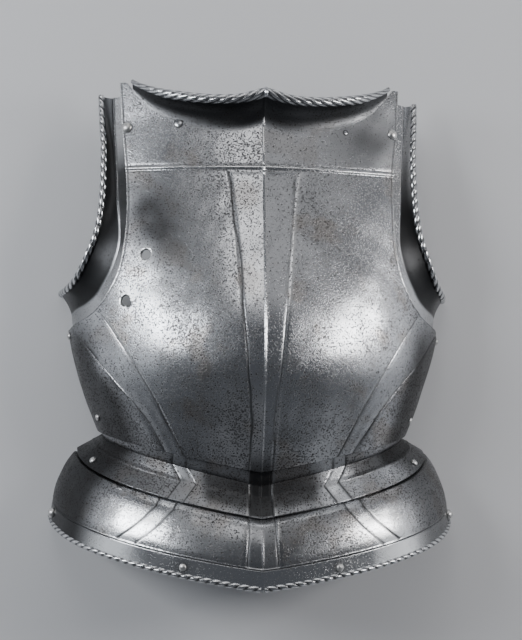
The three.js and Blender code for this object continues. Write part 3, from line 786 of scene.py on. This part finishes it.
def waist_half():
    tuck = np.linspace(24, 0, 7)[:-1, None]
    angle = np.tile(waist_angle[:1], (len(tuck), 1))
    y = waist_y(angle) + tuck
    hidden = trunk(angle, y) - UNDER_CHEST * trunk_normal(angle, y)
    shown = flare(waist_angle, waist_step)
    sunk = UNDER_CHEST * (1 - smooth(waist_step, 0, HOLLOW))
    edge = rounded((SEAM - waist_step) * 8.5, 0.7)
    crease = 0.5 * near(waist_step, TURN, 0.12)
    bands = lame_relief(waist_bands, waist_angle, waist_step) * smooth(waist_step, 0.0, 0.25)
    height = bands - sunk - edge + crease
    shown = shown + flare_normal(waist_angle, np.maximum(waist_step, 0.01)) * height[..., None]
    return np.concatenate([hidden, shown])[::-1]


# %% [markdown]
# The lames are painted like the chest: painted shade at the foot of each band, and bright ridges,
# partly rubbed and partly painted highlight. What is tucked under the next plate is never rubbed, so it
# stays evenly dull.

# %% Paint the waist plate
def lame_paint(bands, angle, step):
    middle, sash = into_lame_bands(bands, angle, step)
    # Painted shade along the foot of the bands' steps. The ridge and the middle band's lip are painted
    # bright, partly wear and partly highlight.
    dark = most(0.8 * near(middle, 1.5, 0.75), 0.9 * near(sash, 0.9, 1.35))
    ridge = near(np.abs(flare(angle, step)[..., 0]), 0, 1.0)
    polish = 0.9 * near(middle, -0.9, 0.8) + 0.4 * ridge
    return dark, polish, 0.7 - 0.35 * smooth(most(middle, sash), 0, 2)


def lame(name, face, **painted):
    hidden_rows = len(face) - len(painted["dark"])
    for label, under in (("dark", 0.6), ("polish", 0.0), ("pitted", 0.5)):
        hidden = np.full((hidden_rows, face.shape[1]), under)
        painted[label] = np.concatenate([hidden, painted[label]])[::-1]
    return plate(name, face, face - LAME * grid_normals(face), every=1, **painted)


def waist_paint():
    angle, step = both_sides(waist_angle, -1), both_sides(waist_step)
    dark, polish, pitted = lame_paint(waist_bands, angle, step)
    x = np.abs(flare(angle, step)[..., 0])
    # Painted shade on the waist plate: in the middle band and on the panels beside it, less near the
    # seam, and towards both ends, more on the wearer's right. There is less of it just below the chest
    # plate.
    above_turn = 1 - smooth(step, TURN - 0.05, TURN + 0.25)
    near_seam = smooth(step, SEAM - 1.2, SEAM - 0.1)
    lower = 0.4 + 0.6 * smooth(step, 0.5, 1.1)
    middle = 0.97 * (1 - smooth(x, 10, 13)) * (1 - 0.3 * smooth(step, SEAM - 0.3, SEAM))
    panels = (0.9 - 0.36 * near_seam) * lower * (1 - smooth(x, 46, 66))
    left = smooth(angle, 0.46, 0.6) * 0.85 * above_turn + smooth(angle, 0.8, 1.15) * 0.75
    right = 0.52 * (angle < 0) + 0.45 * smooth(-angle, 0.7, 1.02)
    shade = np.clip(most(middle, panels, most(left, right) * lower), 0, 0.97)
    return dict(dark=most(dark, shade), polish=polish, pitted=pitted)


waist_face = mirror_columns(waist_half())
waist_face += grid_normals(waist_face) * waves(waist_face, 0.8)[..., None]
waist_plate = lame("waist_plate_fine", waist_face, **waist_paint())

# %% [markdown]
# ## Skirt
# The one skirt lame swells out from under the flange, falls almost straight and ends in a raised border
# line and a roped rim.

# %% Grid and shape of the skirt
UNDER_LAME = 2.6              # how deep the skirt starts under the flange
SKIRT_END = 0.983             # its share of the half turn, which ends just above the table
SKIRT_BANDS = table("step middle inner outer", [
    (SEAM, 12.4, 74, 91), (SWELL, 12.8, 78, 95), (BORDER, 15.2, 112, 130), (RIM, 15.4, 120, 138)])
skirt_bands = band_curves(SKIRT_BANDS)
SKIRT_STEPS = shares((SEAM, SWELL, 12), (SWELL, UPPER_SKIRT, 10), (UPPER_SKIRT, BORDER - 0.2, 16),
                     (BORDER - 0.2, BORDER + 0.12, 14), (BORDER + 0.12, RIM - 0.02, 10))
skirt_angle, skirt_step = lame_angles(skirt_bands, SKIRT_STEPS, QUARTER * SKIRT_END)
PIVOT = 67                    # degrees from the ridge to the flange rivets, where the skirt swings


def slack(angle):
    beyond = (np.abs(angle) - math.radians(PIVOT)) / (QUARTER - math.radians(PIVOT))
    return 2 * np.clip(beyond, 0, None)


def flare_out(angle, step):
    lift = 1.3 * smooth(step, SWELL + 0.5, BORDER) + 2.9 * smooth(step, BORDER - 0.1, RIM + 0.4)
    return lift * (1 - 0.75 * smooth(np.abs(angle), 0.85, 1.4))


def off_flare(angle, step, height):
    return flare(angle, step) + flare_normal(angle, step) * height[..., None]


def skirt_half():
    hidden_steps = np.linspace(FLANGE_MIDDLE - 0.2, SEAM, 6)[:-1]
    hidden_angle = np.tile(skirt_angle[:1], (len(hidden_steps), 1))
    hidden_step = np.tile(hidden_steps[:, None], (1, skirt_angle.shape[1]))
    hidden = off_flare(hidden_angle, hidden_step, -(UNDER_LAME + slack(hidden_angle)))
    sunk = (UNDER_LAME + slack(skirt_angle)) * (1 - smooth(skirt_step, SEAM, SEAM + 0.24))
    bands = lame_relief(skirt_bands, skirt_angle, skirt_step)
    bands = bands * (1 - smooth(skirt_step, BORDER - 0.1, BORDER - 0.03))
    line = 0.3 * near(skirt_step, BORDER - 0.075, 0.04) - 0.55 * near(skirt_step, BORDER, 0.035)
    height = bands + line - sunk + flare_out(skirt_angle, skirt_step)
    return np.concatenate([hidden, off_flare(skirt_angle, skirt_step, height)])[::-1]


# %% [markdown]
# Near its right end the skirt was struck once. The blow left a shallow hollow with a burr curled round
# the lower half of its edge.

# %% Dent and hammer waves of the skirt
DENT = (-126, -151, 5.2)      # across, up, radius


def dent(points, x, y, radius):
    across, up = points[..., 0] - x, points[..., 1] - y
    far, turn = np.hypot(across, up), np.degrees(np.arctan2(up, across))
    gate = smooth(turn, -150, -110) * (1 - smooth(turn, 10, 40))
    burr = 0.7 * near(far, radius, 1.1) * gate
    hollow = 0.6 * (1 - smooth(far, radius * 0.4, radius)) + 0.35 * near(far, radius + 2, 1.6) * gate
    return burr - hollow


skirt_face = mirror_columns(skirt_half())
skirt_face += grid_normals(skirt_face) * dent(skirt_face, *DENT)[..., None]
skirt_face += grid_normals(skirt_face) * waves(skirt_face, 0.9)[..., None]
print("skirt", skirt_face.shape[0], "x", skirt_face.shape[1], "points")

# %% [markdown]
# The ends and the middle of the skirt are painted dark as shade, and its two shoulders and its border
# carry painted highlights. The rope of the rim is made in two halves, twisted towards the middle like
# the neck's.

# %% Paint the skirt and twist its rope
def skirt_paint():
    angle, step = both_sides(skirt_angle, -1), both_sides(skirt_step)
    away = np.abs(angle)
    dark, polish, pitted = lame_paint(skirt_bands, angle, step)
    above = 1 - smooth(step, BORDER - 0.1, BORDER - 0.05)
    # Painted shade in the groove of the border line, towards both ends (more on the wearer's right), and
    # in the middle above the border.
    dark = most(dark * above, 0.95 * near(step, BORDER, 0.045),
                smooth(-angle, 0.7, 1.02) * 0.96 + smooth(angle, 0.68, 1.0) * 0.75,
                0.38 * (1 - smooth(away, 0.34, 0.5)) * above)
    # Painted highlight on the raised border line and across the border strip, brightest where it faces
    # the lamps.
    polish = most(polish * above, 0.5 * near(step, BORDER - 0.085, 0.035))
    polish = np.where(step > BORDER + 0.1, 0.5 + 0.5 * near(away, 0.66, 0.25), polish)
    # The shoulders carry a painted highlight.
    shoulder = near(away, 0.6, 0.17) * smooth(step, SWELL, UPPER_SKIRT)
    worn_end = smooth(angle, 1.12, 1.22) * (1 - smooth(step, SWELL + 0.3, UPPER_SKIRT))
    pitted = np.where(step > BORDER, 0.45, pitted + 0.05) + 0.6 * worn_end
    return dict(dark=dark, polish=most(polish, 0.75 * shoulder, 0.35 * worn_end), pitted=pitted)


def skirt_rope(side, hand):
    angle = hand * QUARTER * SKIRT_END * np.linspace(-1, 1, 400)[200:]
    step = 0 * angle + RIM - 0.02
    line = off_flare(angle, step, flare_out(angle, step) - LAME / 2)
    return rope("skirt_rope_" + side, line, 2.7, 8.6, 2, (0, -1, 0), -hand)


skirt_plate = lame("skirt_plate", skirt_face, **skirt_paint())
skirt_ropes = [skirt_rope("left", 1), skirt_rope("right", -1)]

# %% [markdown]
# ## Arm gussets
# Each gusset slides a little under the armhole's edge. It has a smooth strip beside that edge, a small
# bead, then a hollow flange that carries the roped rim.

# %% Rows of a gusset
GUSSET = table("edge rim_x rim_y rim_z strip", [
    (212, 152, 213, 32, 10.5), (190, 150.5, 190, 41, 10.5), (163, 148.4, 163, 50.5, 11),
    (140, 148, 138, 57.5, 11.5), (115, 148.5, 113, 64, 11.5), (91, 151, 90, 68, 8.5),
    (70, 155.5, 72, 69.5, 6.5), (52, 161.5, 57, 67, 8.5), (36, 167.5, 44, 61, 10.5),
    (22, 173, 35, 53, 12), (10, 178, 29.5, 43, 12.5), (0, 182.5, 26, 32, 13),
    (-7, 186, 24.5, 17, 13.5), (-12, 189, 23, 2.9, 14)])
GUSSET_LAST = len(GUSSET["edge"]) - 1
gusset_at = {name: curve(np.arange(GUSSET_LAST + 1.0), GUSSET[name]) for name in GUSSET}
TUCKED, STRIP, HOLLOWED = 6, 16, 22     # columns under the chest plate, on the strip, in the flange


def nearest_angle(point):
    low, high = np.zeros(point.shape[:-1]), np.full(point.shape[:-1], QUARTER)
    for _ in range(30):
        third = (high - low) / 3
        below = np.linalg.norm(trunk(low + third, point[..., 1]) - point, axis=-1)
        above = np.linalg.norm(trunk(high - third, point[..., 1]) - point, axis=-1)
        low = np.where(below < above, low, low + third)
        high = np.where(below < above, high - third, high)
    return (low + high) / 2


def gusset_rim(place):
    return np.stack([gusset_at[name](place) for name in ("rim_x", "rim_y", "rim_z")], -1)


def gusset_grid():
    place = np.linspace(0, GUSSET_LAST, 181)
    y = gusset_at["edge"](place)
    edge = trunk(armhole_angle(y), y)
    normal = trunk_normal(armhole_angle(y), y)
    rim = gusset_rim(place)
    along = trunk(armhole_angle(y - 1), y - 1) - trunk(armhole_angle(y + 1), y + 1)
    outward = unit(np.cross(along, normal))
    outward *= np.sign(((rim - edge) * outward).sum(-1))[:, None]
    depth = 3.6 + 1.3 * (place / GUSSET_LAST) ** 4

    def on_trunk(reach):
        point = edge + outward * np.reshape(reach, (-1, 1))
        angle = nearest_angle(point)
        return trunk(angle, point[:, 1]) - trunk_normal(angle, point[:, 1]) * depth[:, None]

    strip = gusset_at["strip"](place)
    ends = on_trunk(strip)
    upper = 1 - smooth(place, 3.6, 5.2)
    columns = [on_trunk(np.full_like(place, -15 + 15 * t))
               for t in np.linspace(0, 1, TUCKED, endpoint=False)]
    for t in np.linspace(0, 1, STRIP, endpoint=False):
        bead = 0.55 * near(strip * (1 - t), 0.9, 0.7) * upper
        columns.append(on_trunk(strip * t) + normal * bead[:, None])
    for t in np.linspace(0, 1, HOLLOWED):
        hollow = 4.8 * t * (1 - t) + 0.9 * smooth(t, 0, 0.12) * (1 - t) * upper
        columns.append(ends + (rim - ends) * t - normal * hollow[:, None])
    return np.stack(columns, 1)[::-1], rim


# %% [markdown]
# The strip is rubbed and carries painted shade that changes along its length. The flange is painted
# dark as shade in its hollow and its corner, and the bead between them is painted bright, partly wear
# and partly highlight. One gusset is built and mirrored for the other side.

# %% Paint and twist the gussets
STRIP_SHADE = {  # how dark the strip is at each place along it, from the shoulder down
    1: table("at dark", [(0, 0.1), (3, 0.25), (5, 0.35), (7, 0.15), (9, 0.0), (13, 0.1)]),
    -1: table("at dark", [(0, 0.4), (1.5, 0.75), (3, 1.0), (6, 1.0), (8, 0.65), (10, 0.25), (13, 0.5)])}


def gusset_paint(rows, columns, hand):
    place = np.linspace(GUSSET_LAST, 0, rows)[:, None]
    reach = np.arange(columns)[None] - TUCKED
    # Painted shade on the strip, deeper on the wearer's right, and over the flange's hollow and corner.
    strip = np.interp(place, STRIP_SHADE[hand]["at"], STRIP_SHADE[hand]["dark"]) * (reach < STRIP)
    bead = (1 - smooth(place, 3.6, 5.2)) * near(reach, STRIP - 1, 1.2)
    hollow = smooth(place + (0 if hand > 0 else 2.5), 0, 4.5)
    hollow = (0.3 + 0.7 * hollow) * smooth(reach, STRIP - 0.5, STRIP + 2)
    painted_corner_shade = 0.8 * near(reach, STRIP + 1, 1.2) * smooth(place, 4, 7)
    dark = np.clip(most(strip, hollow, painted_corner_shade) * (1 - 0.7 * bead), 0, 1)
    return dict(dark=dark, polish=most(0.6 * bead, 0.35 * (reach < STRIP - 1)),
                pitted=0.3 * (reach < STRIP))


def gusset(side, hand):
    grid, rim = gusset_grid()
    painted = gusset_paint(*grid.shape[:2], hand)
    grid = grid + grid_normals(grid) * waves(grid, 0.6)[..., None]
    inner = grid - LAME * grid_normals(grid)
    if hand < 0:
        grid, inner = [(g * (-1, 1, 1))[:, ::-1] for g in (grid, inner)]
        painted = {label: np.broadcast_to(field, grid.shape[:2])[:, ::-1]
                   for label, field in painted.items()}
    sheet = plate("gusset_sheet_" + side, grid, inner, every=1, **painted)
    line = rim * (hand, 1, 1)
    tube = rope("gusset_rope_" + side, line, 3.3, 9.2, 2, (hand, 0, 0), -hand, groove=0.32)
    return join("gusset_fine_" + side, [sheet, tube])


gussets = {"left": gusset("left", 1), "right": gusset("right", -1)}

# %% [markdown]
# ## Rivets
# Domed heads outside, flat peened tails inside. Every rivet is turned on its own axis and set square to
# the plate under it.

# %% Rivets
RIVETS = {  # radius of the head, its rise, radius of the shank, radius of the tail
    "shoulder": (5.2, 3.8, 2.4, 4), "foot": (3.6, 2.6, 1.8, 3.4), "waist": (3.4, 2.4, 1.7, 3.2),
    "flange": (3.6, 2.8, 2, 3.6), "strap": (5.0, 4.8, 2.2, 5), "rim": (3.5, 2.6, 1.7, 3.2)}


def seat_on_trunk(x, y, depth):
    angle = angle_at(x, y)
    return trunk(angle, y), trunk_normal(angle, y), depth


def seat_on_flare(degrees, step, depth):
    angle, step = np.array([math.radians(degrees)]), np.array([step])
    return off_flare(angle, step, flare_out(angle, step))[0], flare_normal(angle, step)[0], depth


SEATS = {  # a point, the direction out of the plate, and how deep the tail lies
    "shoulder": seat_on_trunk(126.3, 179.5, 5.2), "foot": seat_on_trunk(178.5, -18, 9.8),
    "waist": seat_on_trunk(149.5, -94.5, 4.9),
    "flange": seat_on_flare(PIVOT, FLANGE_MIDDLE + 0.25, 4.8),
    "strap": seat_on_flare(79, BORDER + 0.5, 2.0), "rim": seat_on_flare(18.5, BORDER + 0.55, 2.0)}
SIDE = {1: "left", -1: "right"}


def rivet(kind, hand):
    head, rise, shank, tail = RIVETS[kind]
    point, normal, depth = SEATS[kind]
    dome = [(head * math.sin(a), 0.3 + (rise - 0.3) * math.cos(a))
            for a in np.linspace(0, QUARTER, 9)]
    end = -(depth + 0.3)
    stem = [(head - 0.1, 0.0), (shank, 0.0), (shank, end), (tail, end), (tail - 0.3, end - 1.2),
            (tail * 0.5, end - 1.5), (0, end - 1.5)]
    flip = np.array([hand, 1, 1])
    return lathe(f"{kind}_rivet_fine_{SIDE[hand]}", dome + stem, SIDES, point * flip, normal * flip)


rivets = {f"{kind}_rivet_{SIDE[hand]}": rivet(kind, hand) for kind in RIVETS for hand in SIDE}
print(len(rivets), "rivets")

# %% [markdown]
# ## Pieces, nodes and bodies
# Each fine piece stands in for its CAD node, and rides on the body that the node belongs to, so that it
# moves with the joints.

# %% Hand the pieces over
breastplate = join("breastplate_fine", [chest_plate, *plugs, *neck_pieces])
skirt = join("skirt_fine", [skirt_plate, *skirt_ropes])
slots = {part["node"]: part["material_slot"] for part in frame["record"]["subparts"]}
bodies = frame["record"]["behaviour"]["bodies"]
body_of = {node: body for body, nodes in bodies.items() for node in nodes}
stands_for = {"breastplate": breastplate, "waist_plate": waist_plate, "skirt": skirt,
              "gusset_left": gussets["left"], "gusset_right": gussets["right"], **rivets}
for node, piece in stands_for.items():
    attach(piece, body_of[node])
    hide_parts(node)

# %% [markdown]
# ## Stains round the rivets
# Moisture stays under a rivet's head, so the steel beside it is darker. The stain is added to the
# painted numbers of whichever plate lies under each rivet.

# %% Darken the plates beside the rivets
def touch(made, label, centres, place, width, amount):
    mesh = made.data
    spots, painted = np.zeros(3 * len(mesh.vertices)), np.zeros(len(mesh.vertices))
    mesh.vertices.foreach_get("co", spots)
    mesh.attributes[label].data.foreach_get("value", painted)
    spots = spots.reshape(-1, 3) * 1000 + (0, BOX_MIDDLE_Y, 0)
    for centre in centres:
        painted = most(painted, amount * near(np.linalg.norm(spots - centre, axis=1), place, width))
    mesh.attributes[label].data.foreach_set("value", painted)


def seats_of(*kinds):
    return [SEATS[kind][0] * (hand, 1, 1) for kind in kinds for hand in (1, -1)]


touch(breastplate, "dark", seats_of("shoulder"), 0, 7, 0.55)
touch(waist_plate, "dark", seats_of("flange"), 0, 7.5, 0.85)
touch(skirt, "dark", seats_of("strap"), 0, 9, 0.9)
touch(skirt, "dark", seats_of("rim"), 0, 5.6, 0.9)
for x, y, radius in REST_HOLES:
    touch(breastplate, "polish", [on_trunk_at(-x, y)], radius + 1, 1.2, 1.0)
for made in (breastplate, waist_plate, skirt):
    labels = [each.name for each in made.data.attributes]
    print(made.name, [label for label in ("polish", "dark", "pitted") if label in labels])

# %% [markdown]
# ## Arithmetic with sockets
# A shader is easier to read as a sum than as a tangle of nodes. This small class holds one output of a
# node tree, and its operators add the Math nodes. Every other node comes from the one method `node`.

# %% One class for shader values
class Value:
    def __init__(self, tree, socket):
        self.tree, self.socket = tree, socket

    def node(self, kind, settings, inputs, output=0):
        made = self.tree.nodes.new(kind)
        for key, setting in settings.items():
            setattr(made, key, setting)
        for key, given in inputs.items():
            if isinstance(given, Value):
                self.tree.links.new(given.socket, made.inputs[key])
            else:
                made.inputs[key].default_value = given
        return Value(self.tree, made.outputs[output])

    def math(self, operation, first, second=0.0):
        return self.node("ShaderNodeMath", {"operation": operation}, {0: first, 1: second})

    def __add__(self, other):
        return self.math("ADD", self, other)

    def __sub__(self, other):
        return self.math("SUBTRACT", self, other)

    def __rsub__(self, other):
        return self.math("SUBTRACT", other, self)

    def __mul__(self, other):
        return self.math("MULTIPLY", self, other)

    __radd__, __rmul__ = __add__, __mul__

    def at_most(self, other):
        return self.math("MINIMUM", self, other)

    def at_least(self, other):
        return self.math("MAXIMUM", self, other)

    def rise(self, low, high):
        inputs = {"Value": self, "From Min": low, "From Max": high}
        return self.node("ShaderNodeMapRange", {"interpolation_type": "SMOOTHSTEP"}, inputs)

    def noise(self, scale, detail=2.0, rough=0.5):
        inputs = {"Vector": self, "Scale": scale, "Detail": detail, "Roughness": rough}
        return self.node("ShaderNodeTexNoise", {}, inputs)

    def stretched(self, by, turn):
        inputs = {"Vector": self, "Rotation": turn}
        turned = self.node("ShaderNodeVectorRotate", {"rotation_type": "EULER_XYZ"}, inputs)
        return turned.node("ShaderNodeVectorMath", {"operation": "MULTIPLY"}, {0: turned, 1: by})

    def cells(self, scale, output):
        return self.node("ShaderNodeTexVoronoi", {}, {"Vector": self, "Scale": scale}, output)

    def dots(self, scale, radius, share):
        inside = 1 - self.cells(scale, "Distance").rise(0.6 * radius, radius)
        return inside * ((self.cells(scale, "Color") + share - 1) * 12).at_least(0).at_most(1)

    def mix(self, first, second):
        colours = {"Factor": self, 6: first, 7: second}
        return self.node("ShaderNodeMix", {"data_type": "RGBA"}, colours, 2)


# %% [markdown]
# ## Old steel
# The steel is cool grey metal. Rust that was cleaned off long ago left thousands of small dark pits, and
# the polish is uneven. The noise is read in object space, so it stays on the plate when a joint moves.
# Three numbers painted on the mesh steer it: how bright a place is, partly from wear and partly as a
# painted highlight; how dark, partly tarnish and partly painted shade; and how pitted.

# %% Pits and scratches
def pits_in(place, depth, polish):
    worn = ((place.noise(600, 1.5, 0.5) + 0.125 * depth - 0.655) * 30).at_least(0).at_most(1)
    fine = place.dots(620, 0.4, 0.9 * depth)
    large = place.dots(420, 0.36, 1.05 * depth)
    deep = place.dots(225, 0.25, 0.7 * depth)
    return (0.7 * worn).at_least(0.8 * fine).at_least(large).at_least(deep) * (1 - 0.9 * polish)


def scratches_in(place):
    along = place.stretched((30, 900, 300), (0.3, 0.5, 0.6)).noise(1.0, 3, 0.6)
    along = along.rise(0.62, 0.72)
    across = place.stretched((800, 25, 300), (0.1, 0.2, -0.5)).noise(1.0, 2, 0.6)
    return along.at_least(across.rise(0.66, 0.74))


def shade(colour, by):
    return (*[by * c for c in colour], 1)


# %% [markdown]
# The colour is built up like the real surface: clean steel in two greys, a fine grain and warm traces
# of rust. Over them comes what is bright, partly rubbed and partly painted highlight, then what is
# dark, partly tarnish and partly painted shade, and the pits over everything.

# %% The steel material
RUST, RUBBED_AND_HIGHLIT, PIT = (0.40, 0.35, 0.30, 1), (0.86, 0.87, 0.88, 1), (0.03, 0.026, 0.025, 1)


def steel(name, grey, roughness, wear=1.0):
    made = bpy.data.materials.new(name)
    made.use_nodes = True
    tree = made.node_tree
    shader = tree.nodes["Principled BSDF"]
    start = Value(tree, None)
    place = start.node("ShaderNodeTexCoord", {}, {}, "Object")
    polish, dark, pitted = [start.node("ShaderNodeAttribute", {"attribute_name": label}, {}, "Fac")
                            for label in ("polish", "dark", "pitted")]
    broad = place.noise(13, 3)
    cloud = place.noise(47, 5, 0.6)
    grain = place.noise(900, 2, 0.6)
    patchy = (0.5 * broad + 0.5 * cloud).rise(0.38, 0.62)
    depth = pitted * (0.5 + 0.5 * patchy) * wear
    pits = pits_in(place, depth, polish)
    scratches = scratches_in(place)
    clean = (patchy * (0.3 + pitted)).mix(shade(grey, 1.14), shade(grey, 0.8))
    grainy = ((1.0 - grain).rise(0.45, 0.65) * (0.1 + 0.3 * pitted)).mix(clean, shade(grey, 0.6))
    warm = (place.noise(26, 3).rise(0.54, 0.66) * 0.5 * pitted).mix(grainy, RUST)
    # Bright paint for wear and painted highlights, then near black for tarnish and painted shade.
    rubbed_and_highlit = (0.85 * polish).mix(warm, RUBBED_AND_HIGHLIT)
    tarnish_and_shade = dark.mix(rubbed_and_highlit, shade(grey, 0.05))
    colour = (0.92 * pits).mix(tarnish_and_shade, PIT)
    tree.links.new(colour.socket, shader.inputs["Base Color"])
    rough = roughness + 0.12 * (cloud - 0.5) + 0.3 * pits
    rough = rough - 0.08 * polish + 0.1 * dark - 0.05 * scratches
    tree.links.new(rough.socket, shader.inputs["Roughness"])
    shader.inputs["Metallic"].default_value = 1
    height = 0.35 * grain - 0.9 * pits - 0.2 * scratches + 0.5 * cloud
    bump = start.node("ShaderNodeBump", {}, {"Strength": 0.2, "Distance": 0.0006, "Height": height})
    tree.links.new(bump.socket, shader.inputs["Normal"])
    return made


COOL_GREY, RIVET_GREY = (0.56, 0.575, 0.6), (0.66, 0.66, 0.65)
finish = {"polished_steel": steel("plate_steel", COOL_GREY, 0.25),
          "worn_steel": steel("waist_steel", COOL_GREY, 0.28, 1.05),
          "dark_steel": steel("gusset_steel", COOL_GREY, 0.24, 0.8),
          "bright_steel": steel("rivet_steel", RIVET_GREY, 0.36, 0.5)}
for node, piece in stands_for.items():
    piece.data.materials.clear()
    piece.data.materials.append(finish[slots[node]])
print(len(finish), "steel materials")

# %% [markdown]
# ## The floor
# A wide sheet of pale paper lies under the plate, which rests on its two level side edges. Far from the
# lights the paper glows faintly, so that it meets the pale wall of the room without a dark band.

# %% Paper floor
PAPER, FAR_GLOW = (0.8, 0.81, 0.83, 1), (0.3, 0.305, 0.315, 1)
bpy.ops.mesh.primitive_plane_add(size=40, location=(0, 0, 0))
floor = bpy.context.object
floor.name = "floor"
paper = bpy.data.materials.new("paper")
paper.use_nodes = True
sheet = paper.node_tree.nodes["Principled BSDF"]
sheet.inputs["Base Color"].default_value = PAPER
sheet.inputs["Roughness"].default_value = 0.9
sheet.inputs["Emission Strength"].default_value = 1
start = Value(paper.node_tree, None)
place = start.node("ShaderNodeTexCoord", {}, {}, "Object")
away = place.node("ShaderNodeVectorMath", {"operation": "LENGTH"}, {0: place}, "Value")
glow = away.rise(0.9, 2.8).mix((0, 0, 0, 1), FAR_GLOW)
paper.node_tree.links.new(glow.socket, sheet.inputs["Emission Color"])
floor.data.materials.append(paper)
print("floor", [round(v, 1) for v in floor.dimensions], "metres")

# %% [markdown]
# ## Studio light
# Polished steel shows its lamps rather than its own colour. Two tall soft boxes, one on each side, draw
# the long highlights down the chest. Weak sheets of light fill the rest, and the space straight ahead
# stays dark, because the middle of the plate mirrors it. Each lamp is placed by its direction from the
# plate, and its power follows from its brightness and its size.

# %% Soft boxes and sheets
def soft_box(name, direction, metres, size, radiance, tint):
    light = bpy.data.lights.new(name, "AREA")
    light.shape, light.size, light.size_y = "RECTANGLE", size[0], size[1]
    light.energy, light.color = radiance * math.pi * size[0] * size[1], tint
    box = link(name, light)
    box.location = Vector((0, 0, PLATE_MIDDLE)) + metres * Vector(direction)
    box.rotation_euler = (-Vector(direction)).to_track_quat("-Z", "Y").to_euler()


PLATE_MIDDLE = 0.1            # metres above the floor, where every lamp is aimed
WARM, NEUTRAL, COOL = (1.0, 0.98, 0.97), (1.0, 1.0, 1.0), (0.97, 0.98, 1.0)
COOLER, BLUE = (0.95, 0.97, 1.0), (0.9, 0.95, 1.0)
# Each row: name, turn from the wearer's left and tilt from straight ahead in degrees, distance and
# size in metres, radiance, tint.
LIGHTS = [
    ("left_box", 161, 57, 1.6, (0.42, 0.8), 12.5, COOLER),
    ("left_sheet", 180, 70, 1.7, (0.8, 0.9), 0.7, BLUE),
    ("right_box", 15, 58, 1.6, (0.36, 0.75), 11.5, WARM),
    ("right_sheet", 2, 74, 1.7, (0.8, 0.9), 0.8, COOL),
    ("brow_box", 108, 42, 1.8, (0.5, 0.6), 2.1, WARM),
    ("top_strip", 90, 76, 1.8, (1.8, 0.22), 3.0, NEUTRAL),
    ("top_sheet", 74, 56, 1.9, (2.0, 1.5), 0.4, WARM),
    ("foot_sheet", 255, 42, 1.8, (1.0, 0.7), 0.08, WARM),
    ("foot_wall", 305, 62, 2.2, (1.6, 0.7), 0.22, COOL)]
for name, turn, tilt, metres, size, radiance, tint in LIGHTS:
    turn, tilt = math.radians(turn), math.radians(tilt)
    ahead = (math.sin(tilt) * math.cos(turn), math.sin(tilt) * math.sin(turn), math.cos(tilt))
    soft_box(name, ahead, metres, size, radiance, tint)
print(len(LIGHTS), "lamps")

# %% [markdown]
# ## The room
# The walls are pale near the horizon and the ceiling is dark. The height of the direction that a ray
# takes picks the shade between them.

# %% Walls and ceiling
world = bpy.data.worlds.new("room")
world.use_nodes = True
backdrop = world.node_tree.nodes["Background"]
start = Value(world.node_tree, None)
way = start.node("ShaderNodeTexCoord", {}, {}, "Generated")
height = way.node("ShaderNodeSeparateXYZ", {}, {"Vector": way}, "Z")
CEILING, WALL = (0.075, 0.08, 0.09, 1), (0.36, 0.37, 0.39, 1)
pale_wall = (1.0 - height.rise(0.1, 0.34)).mix(CEILING, WALL)
world.node_tree.links.new(pale_wall.socket, backdrop.inputs["Color"])
bpy.context.scene.world = world
print("room with", len(world.node_tree.nodes), "nodes")

# %% [markdown]
# ## Camera
# The camera looks almost straight down on the plate from a little over a metre, turned a few degrees to
# the wearer's right and rolled by less than one. The look direction and a cross product give the frame.

# %% Place the camera
TARGET = Vector((0.002, 0.00635, 0.07))
DISTANCE = 1.3                # metres
SENSOR, FOCAL = 36, 77.8      # millimetres
yaw, pitch, roll = [math.radians(degrees) for degrees in (4.8, 1, 0.85)]
look = Vector((math.sin(yaw) * math.cos(pitch), math.sin(pitch), -math.cos(yaw) * math.cos(pitch)))
level = look.cross(Vector((0, 1, 0))).normalized()
upright = level.cross(look)
right = level * math.cos(roll) + upright * math.sin(roll)
up = upright * math.cos(roll) - level * math.sin(roll)
lens = bpy.data.cameras.new("camera")
lens.sensor_fit, lens.sensor_width, lens.sensor_height = "VERTICAL", SENSOR, SENSOR
lens.lens = FOCAL
camera = link("camera", lens)
turned = Matrix((right, up, -look)).transposed().to_4x4()
camera.matrix_world = Matrix.Translation(TARGET - DISTANCE * look) @ turned
bpy.context.scene.camera = camera
print("camera", DISTANCE, "metres away,", FOCAL, "mm lens")
